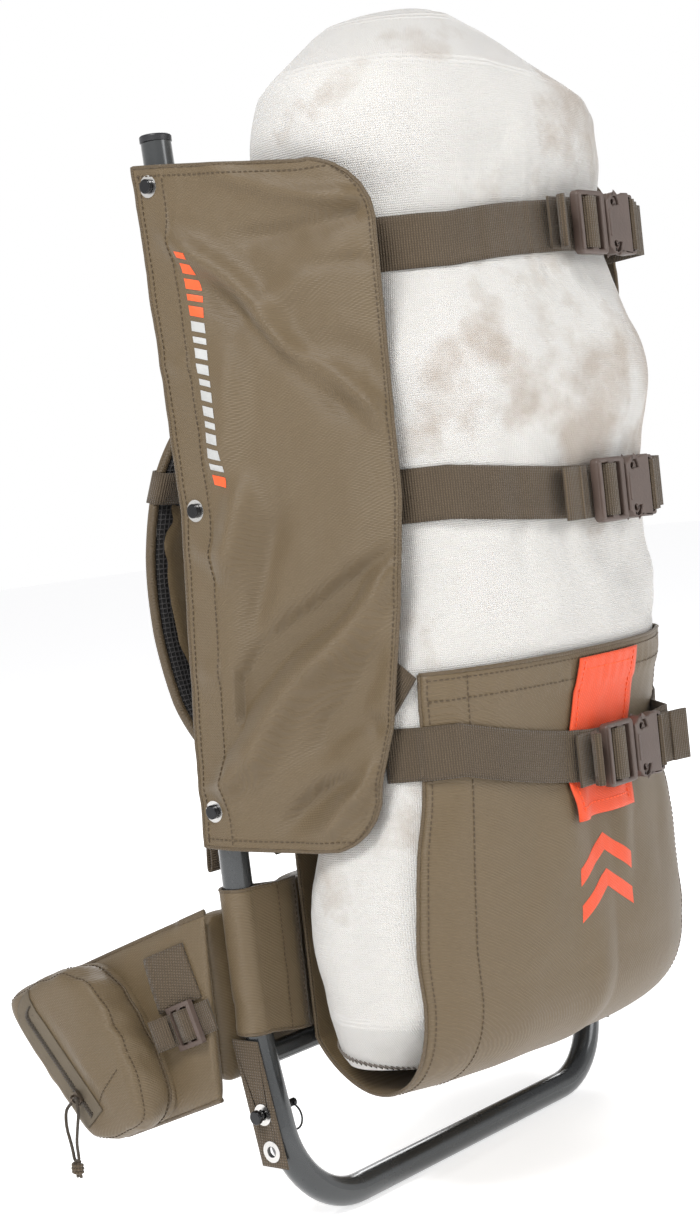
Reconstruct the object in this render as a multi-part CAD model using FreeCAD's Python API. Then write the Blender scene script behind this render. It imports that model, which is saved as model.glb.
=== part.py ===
"""External-frame hunting pack with side wings, a load sling, a hip belt and a strapped-in game bag.

Millimetres. +Z up along the frame, +Y towards the wearer, +X to the wearer's right.
The origin is on the floor under the bottom bar's middle, in the plane of the frame rails.
"""

import FreeCAD
import Part
import math
import os

Vec = FreeCAD.Vector

# ---- driving dimensions ----
RAIL_SPACING = 400.0          # between rail centrelines
TUBE_R = 11.1                 # 22.2 mm aluminium tube
TUBE_WALL = 1.6
RAIL_TOP = 798.0
CORNER_R = 66.0               # bottom corners of the U
CAP_HEIGHT = 5.0
BAR_R = 8.0                   # crossbars
BAR_HEIGHTS = {"upper_crossbar": 690.0, "middle_crossbar": 420.0, "lower_crossbar": 128.0}

PIN_R = 3.0
PIN_HOLE_R = 3.15
PIN_HEIGHTS = (766.0, 532.0, 313.0)
TAB_PIN_HEIGHT = 89.0
GROMMET_R = 8.0
GROMMET_HOLE_R = 4.2
CLOTH = 1.4                   # wing and sling fabric with its hems
WEB = 1.6                     # webbing thickness
STRAP_W = 38.0                # compression webbing
NARROW_W = 25.0               # belt and shoulder webbing
GAP = 0.4                     # clearance between soft layers

# side profile of a rail, as (height, offset towards the wearer)
RAIL_PROFILE = ((RAIL_TOP, 0.0), (540.0, -13.0), (322.0, 3.0), (150.0, 0.0), (TUBE_R, -26.0))
RAIL_BEND_R = 380.0

# compression straps: height at the wing's edge, height at the buckle, x of the buckle
STRAP_LEVELS = {"top": (702.0, 712.0, 45.0), "middle": (526.0, 515.0, 19.0), "bottom": (346.0, 322.0, 10.0)}
BUCKLE_W = 47.0

# game bag: height, centre x, centre y, half width, half depth
BAG_STATIONS = (
    (107.0, -22.0, -98.0, 92.0, 34.0),
    (118.0, -20.0, -100.0, 138.0, 56.0),
    (150.0, -18.0, -104.0, 164.0, 79.0),
    (210.0, -16.0, -107.0, 172.0, 88.0),
    (270.0, -16.0, -107.0, 168.0, 90.0),
    (325.0, -16.0, -106.0, 158.0, 90.0),
    (430.0, -12.0, -115.0, 160.0, 98.0),
    (515.0, -10.0, -115.0, 150.0, 94.0),
    (612.0, -6.0, -122.0, 158.0, 105.0),
    (712.0, -8.0, -106.0, 146.0, 90.0),
    (775.0, -14.0, -106.0, 160.0, 99.0),
    (830.0, -12.0, -106.0, 148.0, 93.0),
    (862.0, -14.0, -104.0, 114.0, 73.0),
    (877.0, -20.0, -103.0, 62.0, 42.0),
)
BAG_SQUARENESS = 2.3

# hip belt: angle below level, and where its centreline crosses the rail
BELT_DROOP = math.radians(20.0)
BELT_ROOT = (-10.0, 180.0)    # y, z
BELT_HALF_H = 66.0
BELT_THICK = 15.0
BELT_FACE_X = -225.0          # outer face of the left pad
BELT_LENGTH = 212.0
BELT_START_Y = 33.0           # the wings start in front of the lumbar pad's ends
POCKET_DEPTH = 36.0


def v(x, y, z):
    return Vec(x, y, z)


def save(name, *shapes):
    """Writes one node, as one or more separate solids."""
    solids = [s for shape in shapes for s in shape.Solids]
    for s in solids:
        if s.Volume <= 0 or not s.isValid():
            print("problem solid in", name, s.Volume, s.isValid())
    shape = solids[0] if len(solids) == 1 else Part.Compound(solids)
    shape.exportStep("parts/%s.step" % name)


def mirrored(shape):
    return shape.mirror(v(0, 0, 0), v(1, 0, 0))


def save_pair(name, *shapes):
    """Writes NAME_left and its mirror image NAME_right."""
    save(name + "_left", *shapes)
    save(name + "_right", *[mirrored(s) for s in shapes])


def sheet(inner, outer):
    """A closed solid between two grids of points of the same size."""
    surfaces = []
    for grid in (inner, outer):
        surface = Part.BSplineSurface()
        surface.interpolate(grid)
        surfaces.append(surface)
    faces = [s.toShape() for s in surfaces]
    a, b = surfaces
    u0, u1, v0, v1 = a.bounds()
    s0, s1, t0, t1 = b.bounds()
    for curve_a, curve_b in ((a.uIso(u0), b.uIso(s0)), (a.uIso(u1), b.uIso(s1)),
                             (a.vIso(v0), b.vIso(t0)), (a.vIso(v1), b.vIso(t1))):
        faces.append(Part.makeRuledSurface(curve_a.toShape(), curve_b.toShape()))
    shell = Part.makeShell(faces)
    shell.sewShape()
    solid = Part.makeSolid(shell)
    if solid.Volume < 0:
        solid.reverse()
    return solid


def thick(grid, thickness):
    """A sheet from a grid of points. It grows by thickness along (next row) x (next column)."""
    rows, columns = len(grid), len(grid[0])
    outer = []
    for i in range(rows):
        row = []
        for j in range(columns):
            down = grid[min(rows - 1, i + 1)][j] - grid[max(0, i - 1)][j]
            across = grid[i][min(columns - 1, j + 1)] - grid[i][max(0, j - 1)]
            row.append(grid[i][j] + down.cross(across).normalize() * thickness)
        outer.append(row)
    return sheet(grid, outer)


def bent_path(points, radii):
    """Straight runs joined by tangent arcs."""
    edges = []
    start = points[0]
    for i in range(1, len(points) - 1):
        before, here, after = points[i - 1], points[i], points[i + 1]
        d0 = (here - before).normalize()
        d1 = (after - here).normalize()
        turn = d0.getAngle(d1)
        cut = radii[i - 1] * math.tan(turn / 2)
        t0, t1 = here - d0 * cut, here + d1 * cut
        middle = (d1 - d0).normalize()
        centre = here + middle * (radii[i - 1] / math.cos(turn / 2))
        edges.append(Part.LineSegment(start, t0).toShape())
        edges.append(Part.Arc(t0, centre - middle * radii[i - 1], t1).toShape())
        start = t1
    edges.append(Part.LineSegment(start, points[-1]).toShape())
    return Part.Wire(edges)


def pipe(wire, radius):
    first = wire.Edges[0]
    start = first.valueAt(first.FirstParameter)
    along = first.tangentAt(first.FirstParameter)
    circle = Part.Wire(Part.Circle(start, along, radius).toShape())
    return wire.makePipeShell([circle], True, False)


def rounded(shape, radius, direction=None):
    """Fillets every edge, or only the edges along a direction."""
    edges = shape.Edges
    if direction is not None:
        edges = [e for e in edges if abs(e.tangentAt(e.FirstParameter).dot(direction)) > 0.99]
    return shape.makeFillet(radius, edges)


def prism(points, direction):
    """A closed outline, pushed along a direction."""
    wire = Part.makePolygon(list(points) + [points[0]])
    return Part.Face(wire).extrude(direction)


def rail_y(z):
    """The rail centreline's offset towards the wearer at a height."""
    for (z1, y1), (z0, y0) in zip(RAIL_PROFILE[:-1], RAIL_PROFILE[1:]):
        if z >= z0:
            return y0 + (y1 - y0) * (z - z0) / (z1 - z0)
    return RAIL_PROFILE[-1][1]


def bag_at(z):
    """The bag's centre x, centre y, half width and half depth at a height, on smooth curves."""
    last = len(BAG_STATIONS) - 1
    k = max([0] + [i for i in range(last) if BAG_STATIONS[i][0] <= z])
    low, high = BAG_STATIONS[k], BAG_STATIONS[k + 1]
    before, after = BAG_STATIONS[max(0, k - 1)], BAG_STATIONS[min(last, k + 2)]
    step = high[0] - low[0]
    t = min(1.0, max(0.0, (z - low[0]) / step))
    values = []
    for i in range(1, 5):
        slope_low = (high[i] - before[i]) / (high[0] - before[0]) * step
        slope_high = (after[i] - low[i]) / (after[0] - low[0]) * step
        values.append((2 * t ** 3 - 3 * t ** 2 + 1) * low[i] + (t ** 3 - 2 * t ** 2 + t) * slope_low
                      + (3 * t ** 2 - 2 * t ** 3) * high[i] + (t ** 3 - t ** 2) * slope_high)
    return values


def outline_point(z, angle, offset=0.0):
    """A point on the bag's outline, and its outward normal. Angle 0 is the wearer's right, -90 the rear."""
    cx, cy, half_w, half_d = bag_at(z)
    c, s = math.cos(math.radians(angle)), math.sin(math.radians(angle))
    power = 2.0 / BAG_SQUARENESS
    x = half_w * math.copysign(abs(c) ** power, c)
    y = half_d * math.copysign(abs(s) ** power, s)
    k = BAG_SQUARENESS - 1.0
    normal = v(math.copysign(abs(x / half_w) ** k / half_w, x), math.copysign(abs(y / half_d) ** k / half_d, y), 0)
    normal.normalize()
    return v(cx + x, cy + y, z) + normal * offset, normal


def rear_y(z, offset=0.0):
    """How far back the bag reaches at a height."""
    return outline_point(z, -90.0, offset)[0].y


# ---- frame ----
def rail_points(x):
    return [v(x, y, z) for z, y in RAIL_PROFILE]


def along_frame(radius):
    """A solid rod of a radius along the whole frame tube."""
    half = RAIL_SPACING / 2
    left, right = rail_points(-half), rail_points(half)
    bends = [RAIL_BEND_R] * 3 + [CORNER_R] * 2 + [RAIL_BEND_R] * 3
    return pipe(bent_path(left + right[::-1], bends), radius)


def frame_tube():
    half = RAIL_SPACING / 2
    tube = along_frame(TUBE_R).cut(along_frame(TUBE_R - TUBE_WALL))
    for z in PIN_HEIGHTS + (TAB_PIN_HEIGHT,):
        for side in (-1, 1):
            start = v(side * half - 20, pin_y(z), z)
            tube = tube.cut(Part.makeCylinder(PIN_HOLE_R, 40, start, v(1, 0, 0)))
    return tube


def pin_y(z):
    return rail_y(z)


def tube_caps():
    caps = []
    for side in (-1, 1):
        x = side * RAIL_SPACING / 2
        top = Part.makeCylinder(TUBE_R + 0.6, CAP_HEIGHT, v(x, 0, RAIL_TOP + 0.7), v(0, 0, 1))
        top = top.makeFillet(1.5, [e for e in top.Edges if e.BoundBox.ZMin > RAIL_TOP + 2])
        plug = Part.makeCylinder(TUBE_R - TUBE_WALL - 0.6, 15, v(x, -0.35, RAIL_TOP - 14), v(0, 0, 1))
        caps.append(top.fuse(plug))
    return caps


def crossbar(z):
    half = RAIL_SPACING / 2
    start, along = v(-half, rail_y(z), z), v(1, 0, 0)
    bar = Part.makeCylinder(BAR_R, RAIL_SPACING, start, along).cut(Part.makeCylinder(BAR_R - 1.5, RAIL_SPACING, start, along))
    return max(bar.cut(along_frame(TUBE_R + 0.1)).Solids, key=lambda s: s.Volume)


# ---- clevis pins, their rings and the grommets ----
def clevis_pin(z, stand_off):
    """A pin from outside the left rail: head outside, ring hole inside."""
    x = -RAIL_SPACING / 2 - TUBE_R - stand_off
    y = pin_y(z)
    shaft = Part.makeCylinder(PIN_R, 2 * TUBE_R + stand_off + 9, v(x, y, z), v(1, 0, 0))
    head = Part.makeCylinder(5.2, 3.4, v(x - 3.4, y, z), v(1, 0, 0))
    head = head.makeFillet(1.0, [e for e in head.Edges if e.BoundBox.XMax < x - 3.3])
    hole = Part.makeCylinder(1.1, 20, v(x + 2 * TUBE_R + stand_off + 5, y - 10, z), v(0, 1, 0))
    return head.fuse(shaft).cut(hole)


def pin_ring(z):
    x = -RAIL_SPACING / 2 + TUBE_R + 5
    return Part.makeTorus(10.0, 0.75, v(x, pin_y(z), z - 10.0), v(1, 0, 0))


def grommet(x, y, z, cloth):
    """A pressed eyelet whose two flanges clasp a layer of cloth from x inwards to x + cloth."""
    parts = []
    for face, side in ((x, -1), (x + cloth, 1)):
        flange = Part.makeCylinder(GROMMET_R, 0.9, v(face if side > 0 else face - 0.9, y, z), v(1, 0, 0))
        parts.append(flange)
    barrel = Part.makeCylinder(GROMMET_HOLE_R + 0.7, cloth, v(x, y, z), v(1, 0, 0))
    solid = parts[0].fuse([parts[1], barrel])
    return solid.cut(Part.makeCylinder(GROMMET_HOLE_R, cloth + 4, v(x - 2, y, z), v(1, 0, 0)))


# ---- wings ----
WING_X = -RAIL_SPACING / 2 - TUBE_R - 1.4 - CLOTH      # outer face beside the rail
WING_FRONT = 13.0                                     # ahead of the pins
WING_TOP, WING_BOTTOM = 783.0, 284.0


WING_REAR = ((284.0, -116.0), (312.0, -126.0), (369.0, -143.0), (450.0, -155.0), (527.0, -163.0), (783.0, -165.0))
WING_REAR_X = -163.0                                  # inner face at the rear edge


def wing_rear_y(z):
    """The rear edge's offset from the frame at a height."""
    for (z0, y0), (z1, y1) in zip(WING_REAR[:-1], WING_REAR[1:]):
        if z <= z1:
            return y0 + (y1 - y0) * max(0.0, (z - z0) / (z1 - z0))
    return WING_REAR[-1][1]


def wing_grid():
    """Rows of points on the wing's inner face, from the rail backwards."""
    grid = []
    inner_x = WING_X + CLOTH
    for i in range(9):
        z = WING_BOTTOM - 6 + (WING_TOP + 12 - WING_BOTTOM) * i / 8.0
        front = rail_y(z)
        row = [v(inner_x, front + WING_FRONT + 2, z), v(inner_x, front, z), v(inner_x, front - 14, z)]
        for t, bow in ((0.3, 3.5), (0.6, 5.5), (0.85, 3.5), (1.05, 0.0)):
            x = inner_x + (WING_REAR_X - inner_x) * t - bow
            row.append(v(x, front - 14 + (-172.0 - front + 14) * t, z))
        grid.append(row)
    return grid


def wing_outline():
    """The cut shape of a wing seen from the side: square at the rail, rounded at the rear."""
    corner = 46.0
    points = [v(-260, rail_y(z) + WING_FRONT, z) for z in (WING_TOP, 680.0, 600.0, 532.0, 450.0, 360.0, WING_BOTTOM + 2)]
    low_z = WING_BOTTOM - 3
    rear = wing_rear_y(low_z + corner)
    for step in range(7):
        a = math.radians(90.0 * step / 6)
        points.append(v(-260, rear + corner - corner * math.sin(a), low_z + corner - corner * math.cos(a)))
    points += [v(-260, y, z) for z, y in WING_REAR[2:-1]]
    top_z, rear = WING_TOP - 18, WING_REAR[-1][1]
    for step in range(7):
        a = math.radians(90.0 * step / 6)
        points.append(v(-260, rear + corner - corner * math.cos(a), top_z - corner + corner * math.sin(a)))
    return prism(points, v(200, 0, 0))


def wing():
    body = thick(wing_grid()[::-1], CLOTH).common(wing_outline())
    for z in PIN_HEIGHTS:
        body = body.cut(Part.makeCylinder(GROMMET_HOLE_R + 0.8, 30, v(WING_X - 10, pin_y(z), z), v(1, 0, 0)))
    return max(body.Solids, key=lambda s: s.Volume)


# ---- compression straps and buckles ----
STRAP_OFFSETS = {"top": 2.0, "middle": 1.6, "bottom": 6.4}


def strap_height(level, x):
    """A strap's middle height: it runs from the wing's edge to the buckle."""
    at_wing, at_buckle, buckle_x = STRAP_LEVELS[level]
    t = min(1.0, abs(x - buckle_x) / 150.0)
    return at_buckle + (at_wing - at_buckle) * t * t


def strap_plane(level):
    """The y of the strap's outer face behind the buckle: clear of the bag over the buckle's whole height."""
    z = STRAP_LEVELS[level][1]
    rear = min(rear_y(z + step, STRAP_OFFSETS[level]) for step in (-24.0, -12.0, 0.0, 12.0, 24.0))
    return rear - WEB


def strap_half(level, side):
    """Webbing from a wing's rear edge to the buckle. The left half ends in the male part, the right in the female."""
    buckle_x = STRAP_LEVELS[level][2]
    half = STRAP_W / 2
    columns = []
    for step in range(7):
        angle = -158.0 + 8.5 * step
        at = outline_point(strap_height(level, side * 160.0), angle if side < 0 else -180.0 - angle)[0]
        if (at.x - buckle_x) * side < 62.0:
            break
        z = strap_height(level, at.x)
        angle = angle if side < 0 else -180.0 - angle
        columns.append([outline_point(z + k * half, angle, STRAP_OFFSETS[level])[0] for k in (-1, 0, 1)])
    flat_y = strap_plane(level) + WEB
    ends = (-46.0, -30.0, -14.0) if side < 0 else (52.0, 43.0, 34.0)
    for u in ends:
        x = buckle_x + u
        columns.append([v(x, flat_y, strap_height(level, x) + k * half) for k in (-1, 0, 1)])
    if side > 0:
        columns = columns[::-1]
    return thick(columns, WEB)


def buckle_box(level, u0, u1, w0, w1, half_h, z_shift=0.0):
    """A block in the buckle's own directions: u to the wearer's right, w outwards from the strap, z up."""
    buckle_x, z = STRAP_LEVELS[level][2], STRAP_LEVELS[level][1] + z_shift
    return Part.makeBox(u1 - u0, w1 - w0, 2 * half_h, v(buckle_x + u0, strap_plane(level) - w1, z - half_h))


FEMALE_LENGTH = 31.0
BUCKLE_BASE, BUCKLE_TOP = 2.2, 12.6


def buckle_female(level):
    """A hollow housing, open to the left, with a slotted end for the sewn webbing."""
    half = BUCKLE_W / 2
    body = buckle_box(level, 0, FEMALE_LENGTH, BUCKLE_BASE, BUCKLE_TOP, half)
    body = rounded(body, 2.6, v(1, 0, 0))
    cavity = buckle_box(level, -1, FEMALE_LENGTH - 4, BUCKLE_BASE + 1.8, BUCKLE_TOP - 1.8, half - 2.4)
    body = body.cut(cavity)
    for side in (-1, 1):
        window = buckle_box(level, 9, FEMALE_LENGTH - 8, BUCKLE_BASE - 1, BUCKLE_TOP + 1, 3.4, side * 16.0)
        window = rounded(window, 2.8, v(0, 1, 0))
        body = body.cut(window)
        side_cut = buckle_box(level, 9, FEMALE_LENGTH - 8, BUCKLE_BASE + 3, BUCKLE_TOP - 3, 4, side * (half + 1))
        body = body.cut(side_cut)
    end = buckle_box(level, FEMALE_LENGTH - 0.5, FEMALE_LENGTH + 9, BUCKLE_BASE + 1, BUCKLE_TOP - 3, half - 1.0)
    end = rounded(end, 1.5, v(1, 0, 0))
    slot = buckle_box(level, FEMALE_LENGTH + 1.5, FEMALE_LENGTH + 5.5, 0, BUCKLE_TOP + 2, STRAP_W / 2 + 0.8)
    return body.fuse(end).cut(slot)


MALE_LENGTH = 37.0


def buckle_male(level):
    """An adjuster frame with two slots, and the prongs that enter the female part."""
    half = BUCKLE_W / 2
    low, high = BUCKLE_BASE + 1.9, BUCKLE_TOP - 0.6
    frame = buckle_box(level, -MALE_LENGTH, -0.8, low, high, half)
    frame = rounded(frame, 2.2, v(0, 1, 0))
    for u0, u1 in ((-32.0, -22.5), (-15.5, -7.5)):
        frame = frame.cut(buckle_box(level, u0, u1, low - 1, high + 1, STRAP_W / 2 + 0.8))
    over_bar = buckle_box(level, -22.6, -15.4, low + 2.6, high + 1, STRAP_W / 2 + 0.8)
    frame = frame.cut(over_bar)
    mid = (BUCKLE_BASE + BUCKLE_TOP) / 2
    guide = buckle_box(level, -2, 21, mid - 2, mid + 2, 3.5)
    arms = []
    for side in (-1, 1):
        arm = buckle_box(level, -2, 20, mid - 2.2, mid + 2.2, 2.6, side * 14.5)
        hook = buckle_box(level, 12, 22, mid - 2.2, mid + 2.2, 3.4, side * 16.8)
        arms += [arm, hook]
    return frame.fuse([guide] + arms)


def strap_tail(level):
    """The webbing that wraps the male part's middle bar, with its free end folded back over the strap."""
    low = 1.0
    bar_top = BUCKLE_BASE + 1.9 + 2.6 + 0.3
    path = [(-64, low), (-35, low), (-31.0, low + 0.2), (-23.6, bar_top), (-14.3, bar_top), (-12.0, bar_top - 3)]
    y0 = strap_plane(level)
    z, buckle_x = STRAP_LEVELS[level][1:]
    outline = [v(buckle_x + u, y0 - w, z - STRAP_W / 2) for u, w in path]
    outline += [v(buckle_x + u, y0 - w - WEB, z - STRAP_W / 2) for u, w in reversed(path)]
    strip = prism(outline, v(0, 0, STRAP_W))
    fold = buckle_box(level, -64, -55, low + WEB, low + 2.6 * WEB, STRAP_W / 2)
    return strip.fuse(fold)


# ---- sling ----
SLING_TOP = 398.0
SLING_TURN = 172.0            # below this height the rear panel turns under the bag
SLING_FRONT_Y = -14.7         # inner face of the front panel, behind the crossbars
SLING_COLUMNS = 15
SLING_OFFSET = 2.6             # the gap between the bag and the rear panel


def sling_hem_angle(z):
    """Where the near hem lies on the bag's outline: it closes towards the corner lower down."""
    return -160.0 + 11.0 * (SLING_TOP - z) / 194.0


def sling_row(z):
    """Points on the bag's rear face from the left hem to the right one."""
    first = sling_hem_angle(z)
    span = -180.0 - 2 * first
    return [outline_point(z, first + span * k / (SLING_COLUMNS - 1), SLING_OFFSET)[0] for k in range(SLING_COLUMNS)]


def sling():
    """One strip of cloth: up the bag's rear face from under it, and up the frame in front of it."""
    drop = SLING_TOP - SLING_TURN
    rows = [sling_row(SLING_TOP - drop * i / 12.0) for i in range(13)]
    turn = rows[-1]
    front = [v(-150.0 + 300.0 * k / (SLING_COLUMNS - 1), SLING_FRONT_Y, 130.0) for k in range(SLING_COLUMNS)]
    for step in range(1, 10):
        t = step / 10.0
        row = []
        for start, end in zip(turn, front):
            a, b = start + v(0, 2, -88), end + v(0, -30, -52)
            row.append(start * (1 - t) ** 3 + a * (3 * t * (1 - t) ** 2) + b * (3 * t ** 2 * (1 - t)) + end * t ** 3)
        rows.append(row)
    rows += [[p + v(0, 0, 34.0 * i) for p in front] for i in range(9)]
    return thick(rows, CLOTH)


def sling_tab():
    """The bright tab sewn over the sling's top edge, behind the bottom buckle."""
    rows = []
    for z in (SLING_TOP - 8, 354.0, 318.0, 282.0):
        middle = -86.0 - 5.0 * (SLING_TOP - z) / 116.0
        rows.append([outline_point(z, middle + step, 4.6)[0] for step in (-12.0, -6.0, 0.0, 6.0, 12.0)])
    return thick(rows, 1.2)


def sling_strap(side):
    """Webbing from a top corner of the sling up and forwards to the rail."""
    angle = -162.0 if side < 0 else -18.0
    start = outline_point(SLING_TOP - 12, angle, 5.2)[0]
    end = v(side * (RAIL_SPACING / 2 - TUBE_R - 6), -28, 492)
    bow = v(side * 3.0, 0, 0)
    points = [start, start * 0.66 + end * 0.34 + bow, start * 0.33 + end * 0.67 + bow, end]
    return webbing(points[::-1] if side < 0 else points, STRAP_W, v(0, -0.66, 0.75))


# ---- game bag ----
def game_bag():
    wires = []
    heights = [BAG_STATIONS[0][0], 112.0, 120.0, 134.0]
    heights += [150.0 + 26.0 * i for i in range(27)]
    heights += [846.0, 862.0, 871.0, BAG_STATIONS[-1][0]]
    for z in heights:
        points = [outline_point(z, a)[0] for a in range(-180, 180, 18)]
        curve = Part.BSplineCurve()
        curve.interpolate(points, PeriodicFlag=True)
        wires.append(Part.Wire(curve.toShape()))
    return Part.makeLoft(wires, True, False)


# ---- shoulder harness ----
# the strap's middle line: x, y, z and its width there
STRAP_LINE = (
    (-52.0, 31.0, 646.0, 62.0), (-62.0, 52.0, 636.0, 66.0), (-84.0, 78.0, 606.0, 70.0),
    (-104.0, 96.0, 560.0, 72.0), (-114.0, 105.0, 500.0, 72.0), (-117.0, 105.0, 440.0, 68.0),
    (-116.0, 98.0, 385.0, 58.0), (-112.0, 88.0, 352.0, 44.0),
)
STRAP_PAD = 12.0


def line_normals(line):
    """Directions square to a line in the side view, pointing away from the frame."""
    normals = []
    for k in range(len(line)):
        a, b = line[max(0, k - 1)], line[min(len(line) - 1, k + 1)]
        n = v(0, a[2] - b[2], b[1] - a[1])
        n.normalize()
        normals.append(n)
    return normals


def shoulder_strap():
    inner, outer = [], []
    for (x, y, z, width), n in zip(STRAP_LINE, line_normals(STRAP_LINE)):
        middle = v(x, y, z)
        low_row, high_row = [], []
        for k, full in ((-0.5, 0.45), (-0.3, 0.92), (0.0, 1.0), (0.3, 0.92), (0.5, 0.45)):
            p = middle + v(width * k, 0, 0)
            low_row.append(p - n * (STRAP_PAD / 2 * full))
            high_row.append(p + n * (STRAP_PAD / 2 * full))
        inner.append(low_row)
        outer.append(high_row)
    return sheet(inner, outer)


def slab(x0, x1, y0, y1, z0, z1, radius):
    """A padded block with rounded corners in its face and softened rims."""
    block = Part.makeBox(x1 - x0, y1 - y0, z1 - z0, v(x0, y0, z0))
    return rounded(block, radius, v(0, 1, 0))


def strap_ladderlock():
    """The adjuster under the strap's lower end."""
    x, y, z = -112.0, 81.0, 326.0
    frame = Part.makeBox(34, 5, 26, v(x - 17, y, z - 13))
    frame = rounded(frame, 3.0, v(0, 1, 0))
    for z0 in (z - 9.5, z + 1.5):
        frame = frame.cut(Part.makeBox(NARROW_W + 1, 12, 8, v(x - NARROW_W / 2 - 0.5, y - 3, z0)))
    return frame


def webbing(points, width, across, thickness=WEB):
    """A flat strip along points. Its width lies along across."""
    return thick([[p + across * (width * w) for w in (-0.5, 0.0, 0.5)] for p in points], thickness)


def lower_webbing():
    """From the adjuster back to the lumbar pad, and the free tail that hangs in front."""
    run = [v(-112, 81.5, 312.5), v(-114, 70, 300), v(-118, 46, 281), v(-122, 20, 265)]
    tail = [v(-112, 88.5, 324), v(-112, 97, 316), v(-112, 100, 290), v(-112, 101, 262), v(-112, 101, 250)]
    return [webbing(run, NARROW_W, v(1, 0, 0)), webbing(tail, NARROW_W, v(1, 0, 0))]


def lifter_webbing():
    """From the top of the shoulder strap up to the upper crossbar."""
    run = [v(-60, 46, 656), v(-68, 39, 668), v(-76, 28, 680)]
    return webbing(run, 20.0, v(1, 0, 0))


# ---- hip belt ----
def belt_point(d, h, x):
    """A point on the left hip-belt pad: d along it from the rail, h up across it."""
    c, s = math.cos(BELT_DROOP), math.sin(BELT_DROOP)
    return v(x, BELT_ROOT[0] + d * c + h * s, BELT_ROOT[1] - d * s + h * c)


def belt_x(d):
    """The outer face's x: the pad bows outwards and turns in at its tip."""
    t = d / BELT_LENGTH
    return BELT_FACE_X - 14.0 * math.sin(math.pi * min(1.0, t) * 0.8)


def belt_wing():
    """The padded wing, in front of the rail."""
    inner, outer = [], []
    for d in (-8.0, 30.0, 75.0, 120.0, 165.0, BELT_LENGTH):
        tip = max(0.0, (d - 150.0) / (BELT_LENGTH - 150.0))
        low, high = -BELT_HALF_H + 34.0 * tip, BELT_HALF_H - 6.0 * tip
        rows = ([], [])
        for k, full in ((0.0, 0.4), (0.15, 0.95), (0.5, 1.0), (0.85, 0.95), (1.0, 0.4)):
            h = low + (high - low) * k
            middle = belt_x(d) + BELT_THICK / 2
            rows[0].append(belt_point(d, h, middle + BELT_THICK / 2 * full))
            rows[1].append(belt_point(d, h, middle - BELT_THICK / 2 * full))
        inner.append(rows[0])
        outer.append(rows[1])
    pad = sheet(inner, outer)
    behind = Part.makeBox(80, 140, 400, v(-260, BELT_START_Y - 140, 0))
    return max(pad.cut(behind).Solids, key=lambda s: s.Volume)


POCKET_OUTLINE = ((75.0, -62.0), (91.0, 64.0), (180.0, 66.0), (195.0, 57.0), (152.0, -54.0), (140.0, -62.0))


def pocket_base(d):
    return belt_x(d) - 1.8


def belt_pocket():
    """The zipped pocket on the wing's outer face."""
    base = min(pocket_base(d) for d in (75.0, 110.0, 150.0, 190.0))
    points = [belt_point(d, h, base) for d, h in POCKET_OUTLINE]
    block = prism(points, v(-POCKET_DEPTH, 0, 0))
    edges = [e for e in block.Edges if e.BoundBox.XMax < base - 1]
    return block.makeFillet(9.0, edges)


def pocket_face():
    return min(pocket_base(d) for d in (75.0, 110.0, 150.0, 190.0)) - POCKET_DEPTH


ZIP_TOP, ZIP_END = (170.0, 48.0), (136.0, -38.0)     # d, h of the zip's two ends
ZIP_SLIDER_AT = 0.86                                  # of the way down


def zip_point(t, lift):
    d = ZIP_TOP[0] + (ZIP_END[0] - ZIP_TOP[0]) * t
    h = ZIP_TOP[1] + (ZIP_END[1] - ZIP_TOP[1]) * t
    return belt_point(d, h, pocket_face() - lift)


def zip_axis():
    along = zip_point(0, 0) - zip_point(1, 0)
    return along.normalize()


def zip_block(t0, t1, half_w, lift0, lift1):
    along = zip_axis()
    across = along.cross(v(1, 0, 0))
    a, b = zip_point(t0, lift0), zip_point(t1, lift0)
    corners = [a + across * half_w, a - across * half_w, b - across * half_w, b + across * half_w]
    return prism(corners, v(lift0 - lift1, 0, 0))


def belt_zip():
    """The zip's tape, with its closed coil as a low ridge."""
    tape = zip_block(0.0, 1.0, 13.0, 0.1, 1.0)
    coil = zip_block(0.01, 0.99, 2.4, 0.9, 2.2)
    return tape.fuse(coil)


SLIDER_LENGTH = 9.0


def zip_slider():
    along = zip_axis()
    across = along.cross(v(1, 0, 0))
    at = zip_point(ZIP_SLIDER_AT, 2.5)
    corners = [at + along * (SLIDER_LENGTH / 2 * a) + across * (4.5 * b) for a, b in ((-1, -0.7), (-1, 0.7), (1, 1), (1, -1))]
    body = prism(corners, v(-3.0, 0, 0))
    bridge = Part.makeTorus(3.2, 0.9, at + v(-4.0, 0, 0), across)
    keep = prism([c + (c - at) * 2 for c in corners], v(-12, 0, 0))
    return body.fuse(bridge.common(keep))


PULL_D = 2.4
PULL_CENTRE_LIFT = 7.2


def pull_points():
    """The pull cord's route: out of the slider's bridge, down to the knot and back up."""
    top = zip_point(ZIP_SLIDER_AT, PULL_CENTRE_LIFT)
    across = zip_axis().cross(v(1, 0, 0))
    across = across * math.copysign(1.0, across.y)
    legs = ((7.2, -3.4, -8.0), (6.0, -5.4, -20.0), (3.2, -5.2, -31.0), (2.7, -4.4, -39.0), (2.6, -4.2, -45.0))
    out = [top + across * 0.3, top + across * 4.6 + v(-0.8, 0, 0)] + [top + v(x, y, z) for y, x, z in legs]
    back = [top - across * 0.3, top - across * 4.6 + v(-0.8, 0, 0)] + [top + v(x, -y, z) for y, x, z in legs]
    return out + back[::-1]


def arc_radii(points):
    radii = []
    for before, here, after in zip(points[:-2], points[1:-1], points[2:]):
        turn = (here - before).getAngle(after - here)
        run = min((here - before).Length, (after - here).Length)
        radii.append(0.45 * run / math.tan(turn / 2))
    return radii


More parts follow.
